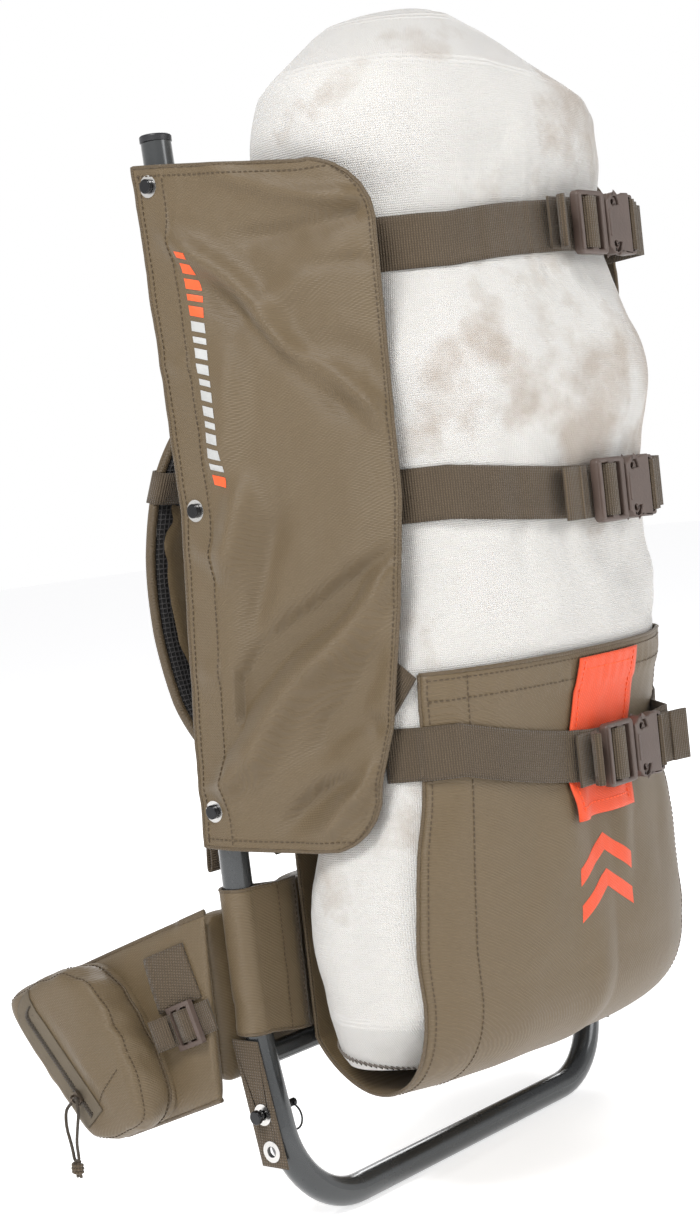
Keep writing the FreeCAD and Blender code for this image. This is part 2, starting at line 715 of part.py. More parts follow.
def pull_cord():
    points = pull_points()
    radii = arc_radii(points)
    wire = bent_path(points, radii)
    return pipe(wire, PULL_D / 2)


def pull_knot():
    """The knot that ends the loop, round both legs."""
    middle = zip_point(ZIP_SLIDER_AT, PULL_CENTRE_LIFT) + v(-4.2, 0, -50.0)
    knot = Part.makeCylinder(5.0, 12.0, middle + v(0, 0, -8.0), v(0, 0, 1))
    knot = knot.makeFillet(2.6, [e for e in knot.Edges if e.Closed])
    return knot


def belt_webbing():
    """The webbing patch and the stabiliser strap on the wing's outer face."""
    parts = []
    for d0, d1, h0, h1, lift in ((29.0, 66.0, 11.0, 49.0, 0.4), (38.0, 72.0, -18.0, 7.0, 0.4)):
        rows = []
        for k in range(3):
            d = d0 + (d1 - d0) * k / 2.0
            rows.append([belt_point(d, h, belt_x(d) - lift) for h in (h1, (h0 + h1) / 2, h0)])
        parts.append(thick(rows, WEB))
    return parts


def belt_ladderlock():
    """The adjuster on the stabiliser strap."""
    x = belt_x(60.0) - 0.4 - WEB - 1.2
    d0, d1 = 34.0, 60.0
    block = prism([belt_point(d, h, x) for d, h in ((d0, -22), (d1, -22), (d1, 11), (d0, 11))], v(-4.5, 0, 0))
    for a, b in ((d0 + 4, d0 + 11), (d0 + 15, d0 + 22)):
        block = block.cut(prism([belt_point(d, h, x + 3) for d, h in ((a, -18.5), (b, -18.5), (b, 7.5), (a, 7.5))],
                                v(-12, 0, 0)))
    return block


def waist_end(male):
    """The webbing at a wing's tip, turned inwards, with its half of the waist buckle."""
    tip = belt_point(BELT_LENGTH + 0.6, 8.0, belt_x(BELT_LENGTH) + BELT_THICK / 2)
    strip = Part.makeBox(46, WEB, STRAP_W, v(tip.x - 2, tip.y, tip.z - STRAP_W / 2))
    x0 = tip.x + 30
    y = tip.y + WEB + 0.4
    body = rounded(Part.makeBox(34, 9, BUCKLE_W, v(x0, y, tip.z - BUCKLE_W / 2)), 3.0, v(0, 1, 0))
    if male:
        for side in (-1, 1):
            body = body.fuse(Part.makeBox(24, 4, 6, v(x0 + 33, y + 2.5, tip.z + side * 15 - 3)))
        body = body.fuse(Part.makeBox(22, 4, 7, v(x0 + 33, y + 2.5, tip.z - 3.5)))
    else:
        body = body.cut(Part.makeBox(30, 5, BUCKLE_W - 6, v(x0 + 8, y + 2, tip.z - (BUCKLE_W - 6) / 2)))
    for shape in (strip, body):
        shape.rotate(tip, v(1, 0, 0), -math.degrees(BELT_DROOP))
    return strip, body


# ---- lumbar pad, rail sleeves and belt tabs ----
SLEEVE_TOP, SLEEVE_BOTTOM = 254.0, 146.0


def rail_sleeve():
    """Cloth wrapped round the left rail, with a flap behind the frame."""
    x = -RAIL_SPACING / 2
    keep = Part.makeBox(60, 80, SLEEVE_TOP - SLEEVE_BOTTOM, v(x - 30, -40, SLEEVE_BOTTOM))
    tube = along_frame(TUBE_R + 2.2).cut(along_frame(TUBE_R + 0.5)).common(keep)
    near, far = -TUBE_R - 2.7, -TUBE_R - 4.2
    flap = prism([v(x, near, SLEEVE_BOTTOM + 1), v(x + 40, near, SLEEVE_BOTTOM - 8),
                  v(x + 40, far, SLEEVE_BOTTOM - 8), v(x, far, SLEEVE_BOTTOM + 1)],
                 v(0, 1.0, SLEEVE_TOP - SLEEVE_BOTTOM - 6))
    return tube, flap


def lumbar_pad():
    """The pad in the small of the back. Its ends pass in front of the rails and carry the belt wings."""
    back = TUBE_R + 5.9
    band = slab(-224, 224, back, BELT_START_Y - 0.5, 104, 238, 18)
    return band.fuse(slab(-140, 140, back, BELT_START_Y + 6.0, 116, 250, 26))


def belt_tab():
    """The webbing tab below the sleeve, with two eyelets, on the outside of the rail."""
    x = -RAIL_SPACING / 2 - TUBE_R - 1.4
    points = [v(x, rail_y(z) + 1.0, z) for z in (50.0, 89.0, 120.0, 143.0)]
    strip = webbing(points, NARROW_W, v(0, 1, 0))
    for z in (TAB_PIN_HEIGHT, TAB_PIN_HEIGHT - 27.0):
        strip = strip.cut(Part.makeCylinder(GROMMET_HOLE_R + 0.8, 30, v(x - 15, pin_y(z), z), v(1, 0, 0)))
    return strip


def main():
    os.makedirs("parts", exist_ok=True)
    save("frame_tube", frame_tube())
    save("tube_caps", *tube_caps())
    for name, z in BAR_HEIGHTS.items():
        save(name, crossbar(z))
    save_pair("clevis_pins", *[clevis_pin(z, 4.3) for z in PIN_HEIGHTS], clevis_pin(TAB_PIN_HEIGHT, 9.0))
    rings = [pin_ring(z) for z in PIN_HEIGHTS + (TAB_PIN_HEIGHT,)]
    save("pin_rings", *rings, *[mirrored(r) for r in rings])
    eyelets = [grommet(WING_X - 0.2, pin_y(z), z, CLOTH + 0.4) for z in PIN_HEIGHTS]
    tab_x = -RAIL_SPACING / 2 - TUBE_R - 1.4 - WEB
    eyelets += [grommet(tab_x, pin_y(z), z, WEB) for z in (TAB_PIN_HEIGHT, TAB_PIN_HEIGHT - 27.0)]
    save("grommets", *eyelets, *[mirrored(g) for g in eyelets])
    save_pair("wing", wing())
    save("compression_straps_left", *[strap_half(level, -1) for level in STRAP_LEVELS])
    save("compression_straps_right", *[strap_half(level, 1) for level in STRAP_LEVELS])
    for level in STRAP_LEVELS:
        save("buckle_female_" + level, buckle_female(level))
        save("buckle_male_" + level, buckle_male(level))
        save("strap_tail_" + level, strap_tail(level))
    save("sling", sling())
    save("sling_tab", sling_tab())
    save("sling_strap_left", sling_strap(-1))
    save("sling_strap_right", sling_strap(1))
    save("game_bag", game_bag())
    save_pair("shoulder_strap", shoulder_strap())
    lock = strap_ladderlock()
    save("strap_ladderlocks", lock, mirrored(lock))
    save_pair("lower_webbing", *lower_webbing())
    lifter = lifter_webbing()
    save("lifter_webbing", lifter, mirrored(lifter))
    save("yoke", slab(-84, 84, 13.0, 24.0, 566, 694, 30))
    save("back_band", slab(-186, 186, 13.5, 17.0, 330, 470, 12))
    save("lumbar_pad", lumbar_pad())
    sleeve = rail_sleeve()
    save_pair("rail_sleeve", *sleeve)
    tab = belt_tab()
    save("belt_tabs", tab, mirrored(tab))
    save_pair("belt_wing", belt_wing())
    save_pair("belt_pocket", belt_pocket())
    save_pair("belt_zip", belt_zip())
    save_pair("belt_webbing", *belt_webbing())
    save_pair("belt_ladderlock", belt_ladderlock())
    save_pair("zip_slider", zip_slider())
    save_pair("zip_cord", pull_cord())
    save_pair("zip_knot", pull_knot())
    strip, male = waist_end(True)
    save("waist_webbing_left", strip)
    save("waist_buckle_left", male)
    strip, female = waist_end(False)
    save("waist_webbing_right", mirrored(strip))
    save("waist_buckle_right", mirrored(female))


main()
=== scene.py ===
"""The looks of a hunting backpack: an external frame with fabric wings, a sling and a tied-in game bag.

Metres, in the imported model's frame: +Z up, +Y towards the wearer, +X towards the wearer's right.
"""

import math

import bmesh
import bpy
from mathutils import Matrix, Vector, noise
from mathutils.bvhtree import BVHTree


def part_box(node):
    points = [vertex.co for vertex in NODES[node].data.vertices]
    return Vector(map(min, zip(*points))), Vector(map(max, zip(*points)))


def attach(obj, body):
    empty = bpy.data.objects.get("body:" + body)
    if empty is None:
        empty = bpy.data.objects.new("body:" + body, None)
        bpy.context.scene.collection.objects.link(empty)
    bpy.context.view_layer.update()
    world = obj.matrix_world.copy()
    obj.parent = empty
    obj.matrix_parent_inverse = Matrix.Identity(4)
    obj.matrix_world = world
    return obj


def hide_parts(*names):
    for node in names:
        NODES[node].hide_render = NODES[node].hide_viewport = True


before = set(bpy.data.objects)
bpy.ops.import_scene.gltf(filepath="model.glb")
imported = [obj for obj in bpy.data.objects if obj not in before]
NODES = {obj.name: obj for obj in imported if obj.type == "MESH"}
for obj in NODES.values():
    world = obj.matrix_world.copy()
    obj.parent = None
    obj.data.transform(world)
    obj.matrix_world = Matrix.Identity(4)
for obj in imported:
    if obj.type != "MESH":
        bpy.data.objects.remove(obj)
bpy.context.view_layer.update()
MM = 0.001
LEVELS = ("top", "middle", "bottom")
SIDES = {"left": -1, "right": 1}

# heights at the wing and at the buckle, and x of the buckle, in mm
STRAPS = {"top": (702, 712, 45), "middle": (526, 515, 19), "bottom": (346, 322, 10)}
STRAP_WIDTH = 38 * MM
WEB = 1.6 * MM
CLOTH = 1.3 * MM
BAG_AXIS = Vector((-0.013, -0.106, 0))


def mm(x, y, z):
    return Vector((x, y, z)) * MM


def lerp(a, b, t):
    return a + (b - a) * t


def smooth(t):
    t = min(1.0, max(0.0, t))
    return t * t * (3 - 2 * t)


def bump_at(value, centre, width):
    """1 at the centre, falling to 0 over a width."""
    return math.exp(-((value - centre) / width) ** 2)


# ------------------------------------------------------------------ materials
def heading(angle):
    """The level direction at an angle in degrees, from +X towards +Y."""
    return Vector((math.cos(math.radians(angle)), math.sin(math.radians(angle)), 0))


def travelled(points):
    """The distance along a line at each of its points."""
    result = [0.0]
    for a, b in zip(points[:-1], points[1:]):
        result.append(result[-1] + (b - a).length)
    return result


def linear(r, g, b):
    """sRGB 0-255 to a linear colour."""
    def one(c):
        c /= 255
        return c / 12.92 if c <= 0.04045 else ((c + 0.055) / 1.055) ** 2.4
    return (one(r), one(g), one(b), 1.0)


class Shader:
    """A material with a Principled shader, and short calls to add nodes to it."""

    def __init__(self, name, **inputs):
        self.material = bpy.data.materials.new(name)
        self.material.use_nodes = True
        self.tree = self.material.node_tree
        self.main = self.tree.nodes["Principled BSDF"]
        self.coords = self.tree.nodes.new("ShaderNodeTexCoord")
        for key, value in inputs.items():
            self.main.inputs[key.replace("_", " ")].default_value = value

    def add(self, kind, inputs, **settings):
        n = self.tree.nodes.new("ShaderNode" + kind)
        for key, value in settings.items():
            setattr(n, key, value)
        for key, value in inputs.items():
            if isinstance(value, bpy.types.NodeSocket):
                self.tree.links.new(value, n.inputs[key])
            else:
                n.inputs[key].default_value = value
        return n

    def link(self, socket, key):
        self.tree.links.new(socket, self.main.inputs[key])

    def noise(self, scale, detail=3.0):
        n = self.add("TexNoise", {"Vector": self.coords.outputs["Object"], "Scale": scale, "Detail": detail,
                                  "Roughness": 0.6})
        return n.outputs["Fac"]

    def ribs(self, pitch, direction="X", space="UV", distortion=0.4):
        """Bands a pitch apart, in metres."""
        n = self.add("TexWave", {"Vector": self.coords.outputs[space], "Scale": 0.31416 / pitch,
                                 "Distortion": distortion, "Detail": 1.0, "Detail Scale": 2.0},
                     wave_type="BANDS", bands_direction=direction)
        return n.outputs["Fac"]

    def math(self, operation, a, b):
        return self.add("Math", {0: a, 1: b}, operation=operation).outputs[0]

    def ramp(self, factor, low, high, a, b):
        n = self.add("ValToRGB", {"Fac": factor})
        n.color_ramp.elements[0].position, n.color_ramp.elements[1].position = a, b
        n.color_ramp.elements[0].color, n.color_ramp.elements[1].color = low, high
        return n.outputs["Color"]

    def tone(self, colour, factor, low, high, a, b):
        """A ramp between two shades of one colour."""
        return self.ramp(factor, shade(colour, low), shade(colour, high), a, b)

    def mix(self, factor, a, b):
        n = self.add("Mix", {0: factor, 6: a, 7: b}, data_type="RGBA", blend_type="MIX")
        return n.outputs[2]

    def bump(self, height, distance, strength=1.0, normal=None):
        inputs = {"Height": height, "Distance": distance, "Strength": strength}
        if normal is not None:
            inputs["Normal"] = normal
        return self.add("Bump", inputs).outputs["Normal"]


def shade(colour, k):
    return (colour[0] * k, colour[1] * k, colour[2] * k, 1.0)


def twill(name, colour, grain=1.0):
    """Coated pack cloth: a fine diagonal weave with a soft sheen and slow changes of tone."""
    s = Shader(name, Roughness=0.5, Sheen_Weight=0.12, Sheen_Roughness=0.4, Specular_IOR_Level=0.5)
    weave = s.math("MULTIPLY", s.ribs(0.0011, "Z", "Object"), s.ribs(0.0012, "DIAGONAL", "Object"))
    tone = s.tone(colour, s.noise(9.0, 4.0), 0.84, 1.12, 0.35, 0.68)
    threads = s.tone(colour, s.noise(650.0, 2.0), 0.8, 1.2, 0.3, 0.7)
    mixed = s.mix(0.45, tone, threads)
    s.link(s.mix(weave, shade(colour, 0.8), mixed), "Base Color")
    fine = s.bump(weave, 0.00025 * grain)
    s.link(s.bump(s.noise(55.0, 4.0), 0.0009 * grain, 0.6, fine), "Normal")
    return s.material


def webbing(name, colour, pitch=0.0019):
    """Woven nylon strap: ribs across its length and faint cords along it. U is across, V along."""
    s = Shader(name, Roughness=0.68, Sheen_Weight=0.15, Sheen_Roughness=0.5, Specular_IOR_Level=0.3)
    across = s.ribs(pitch, "Y", "UV", 0.25)
    along = s.ribs(pitch * 0.9, "X", "UV", 0.25)
    pattern = s.math("MULTIPLY", across, s.math("ADD", s.math("MULTIPLY", along, 0.55), 0.45))
    tone = s.tone(colour, s.noise(14.0), 0.86, 1.14, 0.35, 0.65)
    s.link(s.mix(pattern, shade(colour, 0.5), tone), "Base Color")
    s.link(s.bump(pattern, 0.0007), "Normal")
    return s.material


def solid_webbing(name, colour):
    """The same strap on a piece without a laid-out surface."""
    s = Shader(name, Roughness=0.7, Sheen_Weight=0.15, Specular_IOR_Level=0.3)
    pattern = s.math("MULTIPLY", s.ribs(0.0021, "Z", "Object"), s.ribs(0.0023, "Y", "Object"))
    s.link(s.mix(pattern, shade(colour, 0.55), shade(colour, 1.1)), "Base Color")
    s.link(s.bump(pattern, 0.0006), "Normal")
    return s.material


def spacer_mesh(name, colour):
    """Dark mesh with small hexagonal holes."""
    s = Shader(name, Roughness=0.75, Specular_IOR_Level=0.3)
    cells = s.add("TexVoronoi", {"Vector": s.coords.outputs["UV"], "Scale": 260.0, "Randomness": 0.12},
                  feature="DISTANCE_TO_EDGE")
    wall = cells.outputs["Distance"]
    s.link(s.tone(colour, wall, 1.0, 0.09, 0.06, 0.2), "Base Color")
    s.link(s.bump(s.ramp(wall, (1, 1, 1, 1), (0, 0, 0, 1), 0.05, 0.25), 0.0012), "Normal")
    return s.material


def cotton(name):
    """Thin off-white cotton in an open weave, darker in patches where the load shows through."""
    s = Shader(name, Roughness=0.88, Sheen_Weight=0.25, Sheen_Roughness=0.6, Subsurface_Weight=0.12,
               Subsurface_Scale=0.01, Specular_IOR_Level=0.2)
    s.main.inputs["Subsurface Radius"].default_value = (1.0, 0.8, 0.6)
    weave = s.math("MULTIPLY", s.ribs(0.0016, "Y", "UV", 1.2), s.ribs(0.0015, "X", "UV", 1.2))
    split = s.add("SeparateXYZ", {"Vector": s.coords.outputs["Object"]})
    off = s.math("ABSOLUTE", s.math("SUBTRACT", split.outputs["Z"], 0.585), 0.0)
    belly = s.add("MapRange", {"Value": off, "From Min": 0.03, "From Max": 0.09, "To Min": 0.13, "To Max": 0.0})
    blotches = s.math("ADD", s.noise(8.5, 5.0), belly.outputs[0])
    patches = s.ramp(blotches, (0, 0, 0, 1), (1, 1, 1, 1), 0.56, 0.68)
    slubs = s.noise(260.0, 3.0)
    base = s.mix(patches, linear(216, 214, 210), linear(180, 169, 158))
    gaps = s.math("MULTIPLY", s.math("SUBTRACT", 1.0, weave), 0.22)
    dark = s.mix(gaps, base, linear(140, 134, 128))
    s.link(s.mix(s.math("MULTIPLY", slubs, 0.16), dark, linear(176, 171, 165)), "Base Color")
    fine = s.bump(weave, 0.0005)
    s.link(s.bump(s.noise(38.0, 5.0), 0.0016, 0.55, fine), "Normal")
    return s.material


def plain(name, colour, roughness, metallic=0.0, coat=0.0, grain=300.0, depth=0.00012, variation=0.12):
    """Moulded plastic or metal with a fine surface and slightly uneven tone."""
    s = Shader(name, Roughness=roughness, Metallic=metallic, Coat_Weight=coat, Coat_Roughness=0.12)
    s.link(s.tone(colour, s.noise(30.0, 4.0), 1 - variation, 1 + variation, 0.3, 0.7), "Base Color")
    rough = s.add("MapRange", {"Value": s.noise(45.0, 4.0), "To Min": max(0.05, roughness - 0.07),
                               "To Max": roughness + 0.09})
    s.link(rough.outputs[0], "Roughness")
    s.link(s.bump(s.noise(grain, 3.0), depth), "Normal")
    return s.material


COYOTE = linear(106, 89, 63)
STRAP_BROWN = linear(98, 83, 64)
MATERIALS = {
    "twill": twill("coyote_twill", COYOTE),
    "binding": twill("edge_binding", linear(96, 80, 57), 1.6),
    "webbing": webbing("coyote_webbing", STRAP_BROWN),
    "webbing_solid": solid_webbing("coyote_webbing_cut", STRAP_BROWN),
    "mesh": spacer_mesh("spacer_mesh", linear(62, 60, 60)),
    "orange": twill("orange_cloth", linear(238, 80, 32), 0.8),
    "thread_orange": plain("orange_thread", linear(246, 92, 40), 0.55, grain=900.0, depth=0.0004),
    "thread_grey": plain("grey_thread", linear(184, 184, 182), 0.55, grain=900.0, depth=0.0004),
    "stitch": plain("dark_thread", linear(74, 60, 42), 0.7, grain=1500.0, depth=0.0002),
    "cotton": cotton("game_bag_cotton"),
    "overlock": plain("overlock_thread", linear(120, 112, 104), 0.8, grain=900.0, depth=0.0003),
    "tube": plain("gunmetal_tube", linear(62, 64, 65), 0.25, 0.55, 0.5, 220.0, 0.00002, 0.05),
    "cap": plain("black_cap", linear(34, 34, 37), 0.4),
    "pin": plain("black_pin", linear(26, 26, 28), 0.22, 0.6, 0.3),
    "nickel": plain("nickel_eyelet", linear(205, 203, 200), 0.24, 1.0),
    "ring": plain("black_ring_wire", linear(40, 40, 42), 0.35, 0.8),
    "buckle": plain("buckle_plastic", linear(84, 70, 63), 0.42, grain=500.0, depth=0.0002),
    "zip": plain("zip_tape", linear(97, 87, 72), 0.75, grain=700.0, depth=0.0004),
    "coil": plain("zip_coil", linear(70, 62, 53), 0.5),
    "slider": plain("zip_slider_metal", linear(92, 82, 72), 0.35, 0.7),
    "cord": webbing("pull_cord_braid", linear(104, 88, 68), 0.0014),
}


# ------------------------------------------------------------------ mesh helpers
def dressed(piece, material):
    """Gives a piece one material alone."""
    piece.data.materials.clear()
    piece.data.materials.append(material)
    return piece


def new_object(name, mesh, material):
    piece = bpy.data.objects.new(name, mesh)
    bpy.context.scene.collection.objects.link(piece)
    return dressed(piece, MATERIALS[material])


def from_faces(name, points, faces, material, uvs=None, smoothed=True):
    mesh = bpy.data.meshes.new(name)
    mesh.from_pydata(points, [], faces)
    if uvs is not None:
        layer = mesh.uv_layers.new(name="UVMap")
        for loop in mesh.loops:
            layer.data[loop.index].uv = uvs[loop.vertex_index]
    mesh.polygons.foreach_set("use_smooth", [smoothed] * len(mesh.polygons))
    mesh.update()
    return new_object(name, mesh, material)


def grid_faces(count, width, ring):
    """Four-cornered faces between the points of a grid, row after row."""
    faces = []
    for i in range(count - 1):
        for j in range(width if ring else width - 1):
            k = (j + 1) % width
            faces.append((i * width + j, i * width + k, (i + 1) * width + k, (i + 1) * width + j))
    return faces


def grid(name, rows, material, ring=False):
    """A surface from rows of points. U runs along a row and V across the rows, both in metres."""
    count, width = len(rows), len(rows[0])
    points = [p for row in rows for p in row]
    u = travelled(rows[count // 2])
    v = travelled([row[width // 2] for row in rows])
    uvs = [(u[j], v[i]) for i in range(count) for j in range(width)]
    return from_faces(name, points, grid_faces(count, width, ring), material, uvs)


def row_normals(rows):
    """Unit normals of a grid of points, along (next row) x (next column)."""
    count, width = len(rows), len(rows[0])
    result = []
    for i in range(count):
        line = []
        for j in range(width):
            down = rows[min(count - 1, i + 1)][j] - rows[max(0, i - 1)][j]
            across = rows[i][min(width - 1, j + 1)] - rows[i][max(0, j - 1)]
            line.append(down.cross(across).normalized())
        result.append(line)
    return result


def modified(piece, *modifiers):
    """Adds modifiers, given as (type, settings), and applies them."""
    for kind, settings in modifiers:
        m = piece.modifiers.new(kind.lower(), kind)
        for key, value in settings.items():
            setattr(m, key, value)
    bpy.context.view_layer.update()
    evaluated = piece.evaluated_get(bpy.context.evaluated_depsgraph_get())
    mesh = bpy.data.meshes.new_from_object(evaluated)
    piece.modifiers.clear()
    piece.data = mesh
    mesh.polygons.foreach_set("use_smooth", [True] * len(mesh.polygons))
    return piece


def thickened(piece, thickness):
    return modified(piece, ("SOLIDIFY", {"thickness": thickness, "offset": 0.0, "use_rim": True}))


def place(piece, body, slot, *nodes):
    """Puts a piece on its body and hides the nodes it stands for. Its slot is not used."""
    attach(piece, body)
    if nodes:
        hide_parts(*nodes)
    return piece


def cloth(name, rows, material, thickness, body, slot, *nodes):
    """A thin sheet from rows of points, placed on its body."""
    piece = thickened(grid(name, rows, material), thickness)
    return place(piece, body, slot, *nodes)


def tube(name, points, radius, material, closed=False, sides=8, flat=1.0):
    """A cord along points, round unless flat stretches it one way."""
    rings = []
    count = len(points)
    up = Vector((0.31, 0.2, 0.93))
    for i in range(count):
        a = points[(i - 1) % count] if closed else points[max(0, i - 1)]
        b = points[(i + 1) % count] if closed else points[min(count - 1, i + 1)]
        along = (b - a).normalized()
        side = up.cross(along)
        if side.length < 1e-3:
            side = Vector((1, 0, 0)).cross(along)
        side.normalize()
        up = along.cross(side).normalized()
        rings.append([points[i] + (side * math.cos(w) + up * (math.sin(w) * flat)) * radius
                      for w in (2 * math.pi * k / sides for k in range(sides))])
    if closed:
        rings.append(rings[0])
    vertices = [p for ring in rings for p in ring]
    faces = grid_faces(len(rings), sides, True)
    if not closed:
        faces.append(tuple(range(sides - 1, -1, -1)))
        faces.append(tuple(range((count - 1) * sides, count * sides)))
    v = travelled([ring[0] for ring in rings])
    uvs = [(j * radius * 2 * math.pi / sides, v[i]) for i in range(len(rings)) for j in range(sides)]
    return from_faces(name, vertices, faces, material, uvs)


def resampled(points, pitch):
    """The same line with a point every pitch."""
    result = [points[0].copy()]
    left = pitch
    for a, b in zip(points[:-1], points[1:]):
        length = (b - a).length
        done = 0.0
        while length - done >= left:
            done += left
            result.append(a.lerp(b, done / length))
            left = pitch
        left -= length - done
    return result


class Stitching:
    """Collects short stitches, and makes them one piece."""

    def __init__(self):
        self.points, self.faces = [], []

    def dash(self, a, b, normal, width):
        side = (b - a).cross(normal).normalized() * width / 2
        lift = normal * 0.0003
        start = len(self.points)
        for p, k in ((a, 0.0), (a.lerp(b, 0.2), 1.0), (a.lerp(b, 0.8), 1.0), (b, 0.0)):
            top = p + lift * (0.6 + k)
            self.points += [top - side * (0.5 + 0.5 * k), top + side * (0.5 + 0.5 * k), p - lift * 2]
        for i in range(3):
            n = start + 3 * i
            self.faces += [(n, n + 1, n + 4, n + 3), (n + 1, n + 2, n + 5, n + 4), (n + 2, n, n + 3, n + 5)]
        self.faces += [(start, start + 2, start + 1), (start + 9, start + 10, start + 11)]

    def line(self, points, normal_at, pitch=0.0042, length=0.0028, width=0.0009):
        marks = resampled(points, pitch)
        for a, b in zip(marks[:-1], marks[1:]):
            normal = normal_at(a)
            self.dash(a, a.lerp(b, length / pitch), normal, width)

    def piece(self, name, material="stitch"):
        return from_faces(name, self.points, self.faces, material, smoothed=False)


def tree_of(*pieces):
    """A surface to cast rays at, from whole pieces."""
    points, faces = [], []
    for piece in pieces:
        start = len(points)
        points += [v.co.copy() for v in piece.data.vertices]
        faces += [[start + k for k in p.vertices] for p in piece.data.polygons]
    return BVHTree.FromPolygons(points, faces)


def cast(tree, origin, direction, lift=0.0):
    """Where a ray meets the surface, lifted back along the ray, or None."""
    hit = tree.ray_cast(origin, direction.normalized())
    return None if hit[0] is None else hit[0] - direction.normalized() * lift


def onto_bag(tree, angle, z, lift):
    """A point at a direction round the bag's axis, on the outermost surface."""
    out = heading(angle)
    start = Vector((BAG_AXIS.x, BAG_AXIS.y, z)) + out * 0.6
    return cast(tree, start, -out, lift)


# ------------------------------------------------------------------ game bag
def strap_z(level, x):
    at_wing, at_buckle, buckle_x = STRAPS[level]
    t = min(1.0, abs(x / MM - buckle_x) / 150.0)
    return (at_buckle + (at_wing - at_buckle) * t * t) * MM


def bag_relief(p, angle):
    """How far the cotton stands off the plain shape: lumps, gathers at the straps, fine wrinkles."""
    near = min(abs(p.z - strap_z(level, p.x)) for level in LEVELS)
    free = smooth((near - 0.017) / 0.05)
    lumps = 0.0095 * noise.noise(p * 9.0 + Vector((3.1, 0, 1.7))) + 0.0052 * noise.noise(p * 21.0)
    around = angle / 6.0
    gathers = 0.0032 * noise.noise(Vector((around, p.z * 5.0, 4.0))) * bump_at(near, 0.026, 0.026)
    stretched = Vector((p.x * 16, p.y * 16, p.z * 26))
    wrinkles = 0.0011 * noise.ridged_multi_fractal(stretched, 0.9, 2.1, 4, 0.9, 2.0)
    held = 1.0 if p.z > 0.41 or p.y > -0.12 else 0.3
    value = (lumps * free + gathers + (wrinkles - 0.0012) * (0.25 + 0.75 * free)) * held
    corner = bump_at(p.z, 0.121, 0.02) * bump_at(angle, 158.0, 20.0)
    flank = smooth((0.31 - p.z) / 0.09) * bump_at(angle, 148.0, 27.0)
    ear = bump_at(p.z, 0.842, 0.02) * bump_at(angle, 178.0, 11.0)
    return value + 0.026 * corner + 0.021 * flank + 0.008 * ear


BAG_ROWS, BAG_COLUMNS = 190, 260
BAG_END_SHRINKS = (0.92, 0.8, 0.65, 0.48, 0.3, 0.08)


def bag_heights():
    """Heights of the bag's rows, closer together at both ends."""
    low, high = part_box("game_bag")
    heights = []
    for i in range(BAG_ROWS + 1):
        t = i / BAG_ROWS
        if t < 0.06 or t > 0.94:
            t = 0.5 - 0.5 * math.cos(math.pi * t)
        heights.append(lerp(low.z + 0.0008, high.z - 0.0008, t))
    return sorted(heights)


def closed_ends(piece, last, width):
    """Fills the first and last ring of a grid, and faces everything outwards."""
    bm = bmesh.new()
    bm.from_mesh(piece.data)
    for k in (0, last):
        bm.verts.ensure_lookup_table()
        loop = [bm.verts[k * width + j] for j in range(width)]
        bm.faces.new(loop if k else loop[::-1])
    bmesh.ops.recalc_face_normals(bm, faces=bm.faces)
    for f in bm.faces:
        f.smooth = True
    bm.to_mesh(piece.data)
    bm.free()


def make_game_bag():
    tree = tree_of(NODES["game_bag"])
    rings = []
    for z in bag_heights():
        ring = []
        for j in range(BAG_COLUMNS):
            angle = (90.0 + 360.0 * j / BAG_COLUMNS) % 360.0
            p = onto_bag(tree, angle, z, 0.0)
            ring.append(p + heading(angle) * bag_relief(p, angle))
        rings.append(ring)
    ends = []
    for ring, rise in ((rings[0], -0.0025), (rings[-1], 0.0085)):
        centre = sum(ring, Vector()) / BAG_COLUMNS
        ends.append([[centre.lerp(p, k) + Vector((0, 0, rise * (1 - k ** 2.2))) for p in ring]
                     for k in BAG_END_SHRINKS])
    rings = ends[0][::-1] + rings + ends[1]
    # the dome slopes down towards the wearer's right
    for ring in rings:
        for p in ring:
            p.z -= smooth((p.z - 0.78) / 0.1) * max(0.0, (p.x + 0.05)) * 0.26
    piece = grid("game_bag_cotton", rings, "cotton", ring=True)
    closed_ends(piece, len(rings) - 1, BAG_COLUMNS)
    modified(piece, ("SMOOTH", {"factor": 0.5, "iterations": 3}))
    dressed(piece, MATERIALS["cotton"])
    place(piece, "pack", "cotton", "game_bag")
    return piece


def make_bag_seam(bag_tree):
    """The overlocked seam that shows at the bag's lower left corner."""
    points = []
    for i in range(90):
        t = i / 89
        angle = lerp(150.0, 205.0, t)
        z = 0.128 - 0.017 * smooth(t * 1.4) + 0.0022 * (1 if i % 2 else -1)
        p = onto_bag(bag_tree, angle, z, 0.0)
        if p is not None:
            points.append(p + Vector((-1, 0.1, 0)) * (0.0008 + 0.0009 * (i % 2)))
    seam = tube("game_bag_overlock", points, 0.0006, "overlock", sides=5)
    place(seam, "pack", "cotton")


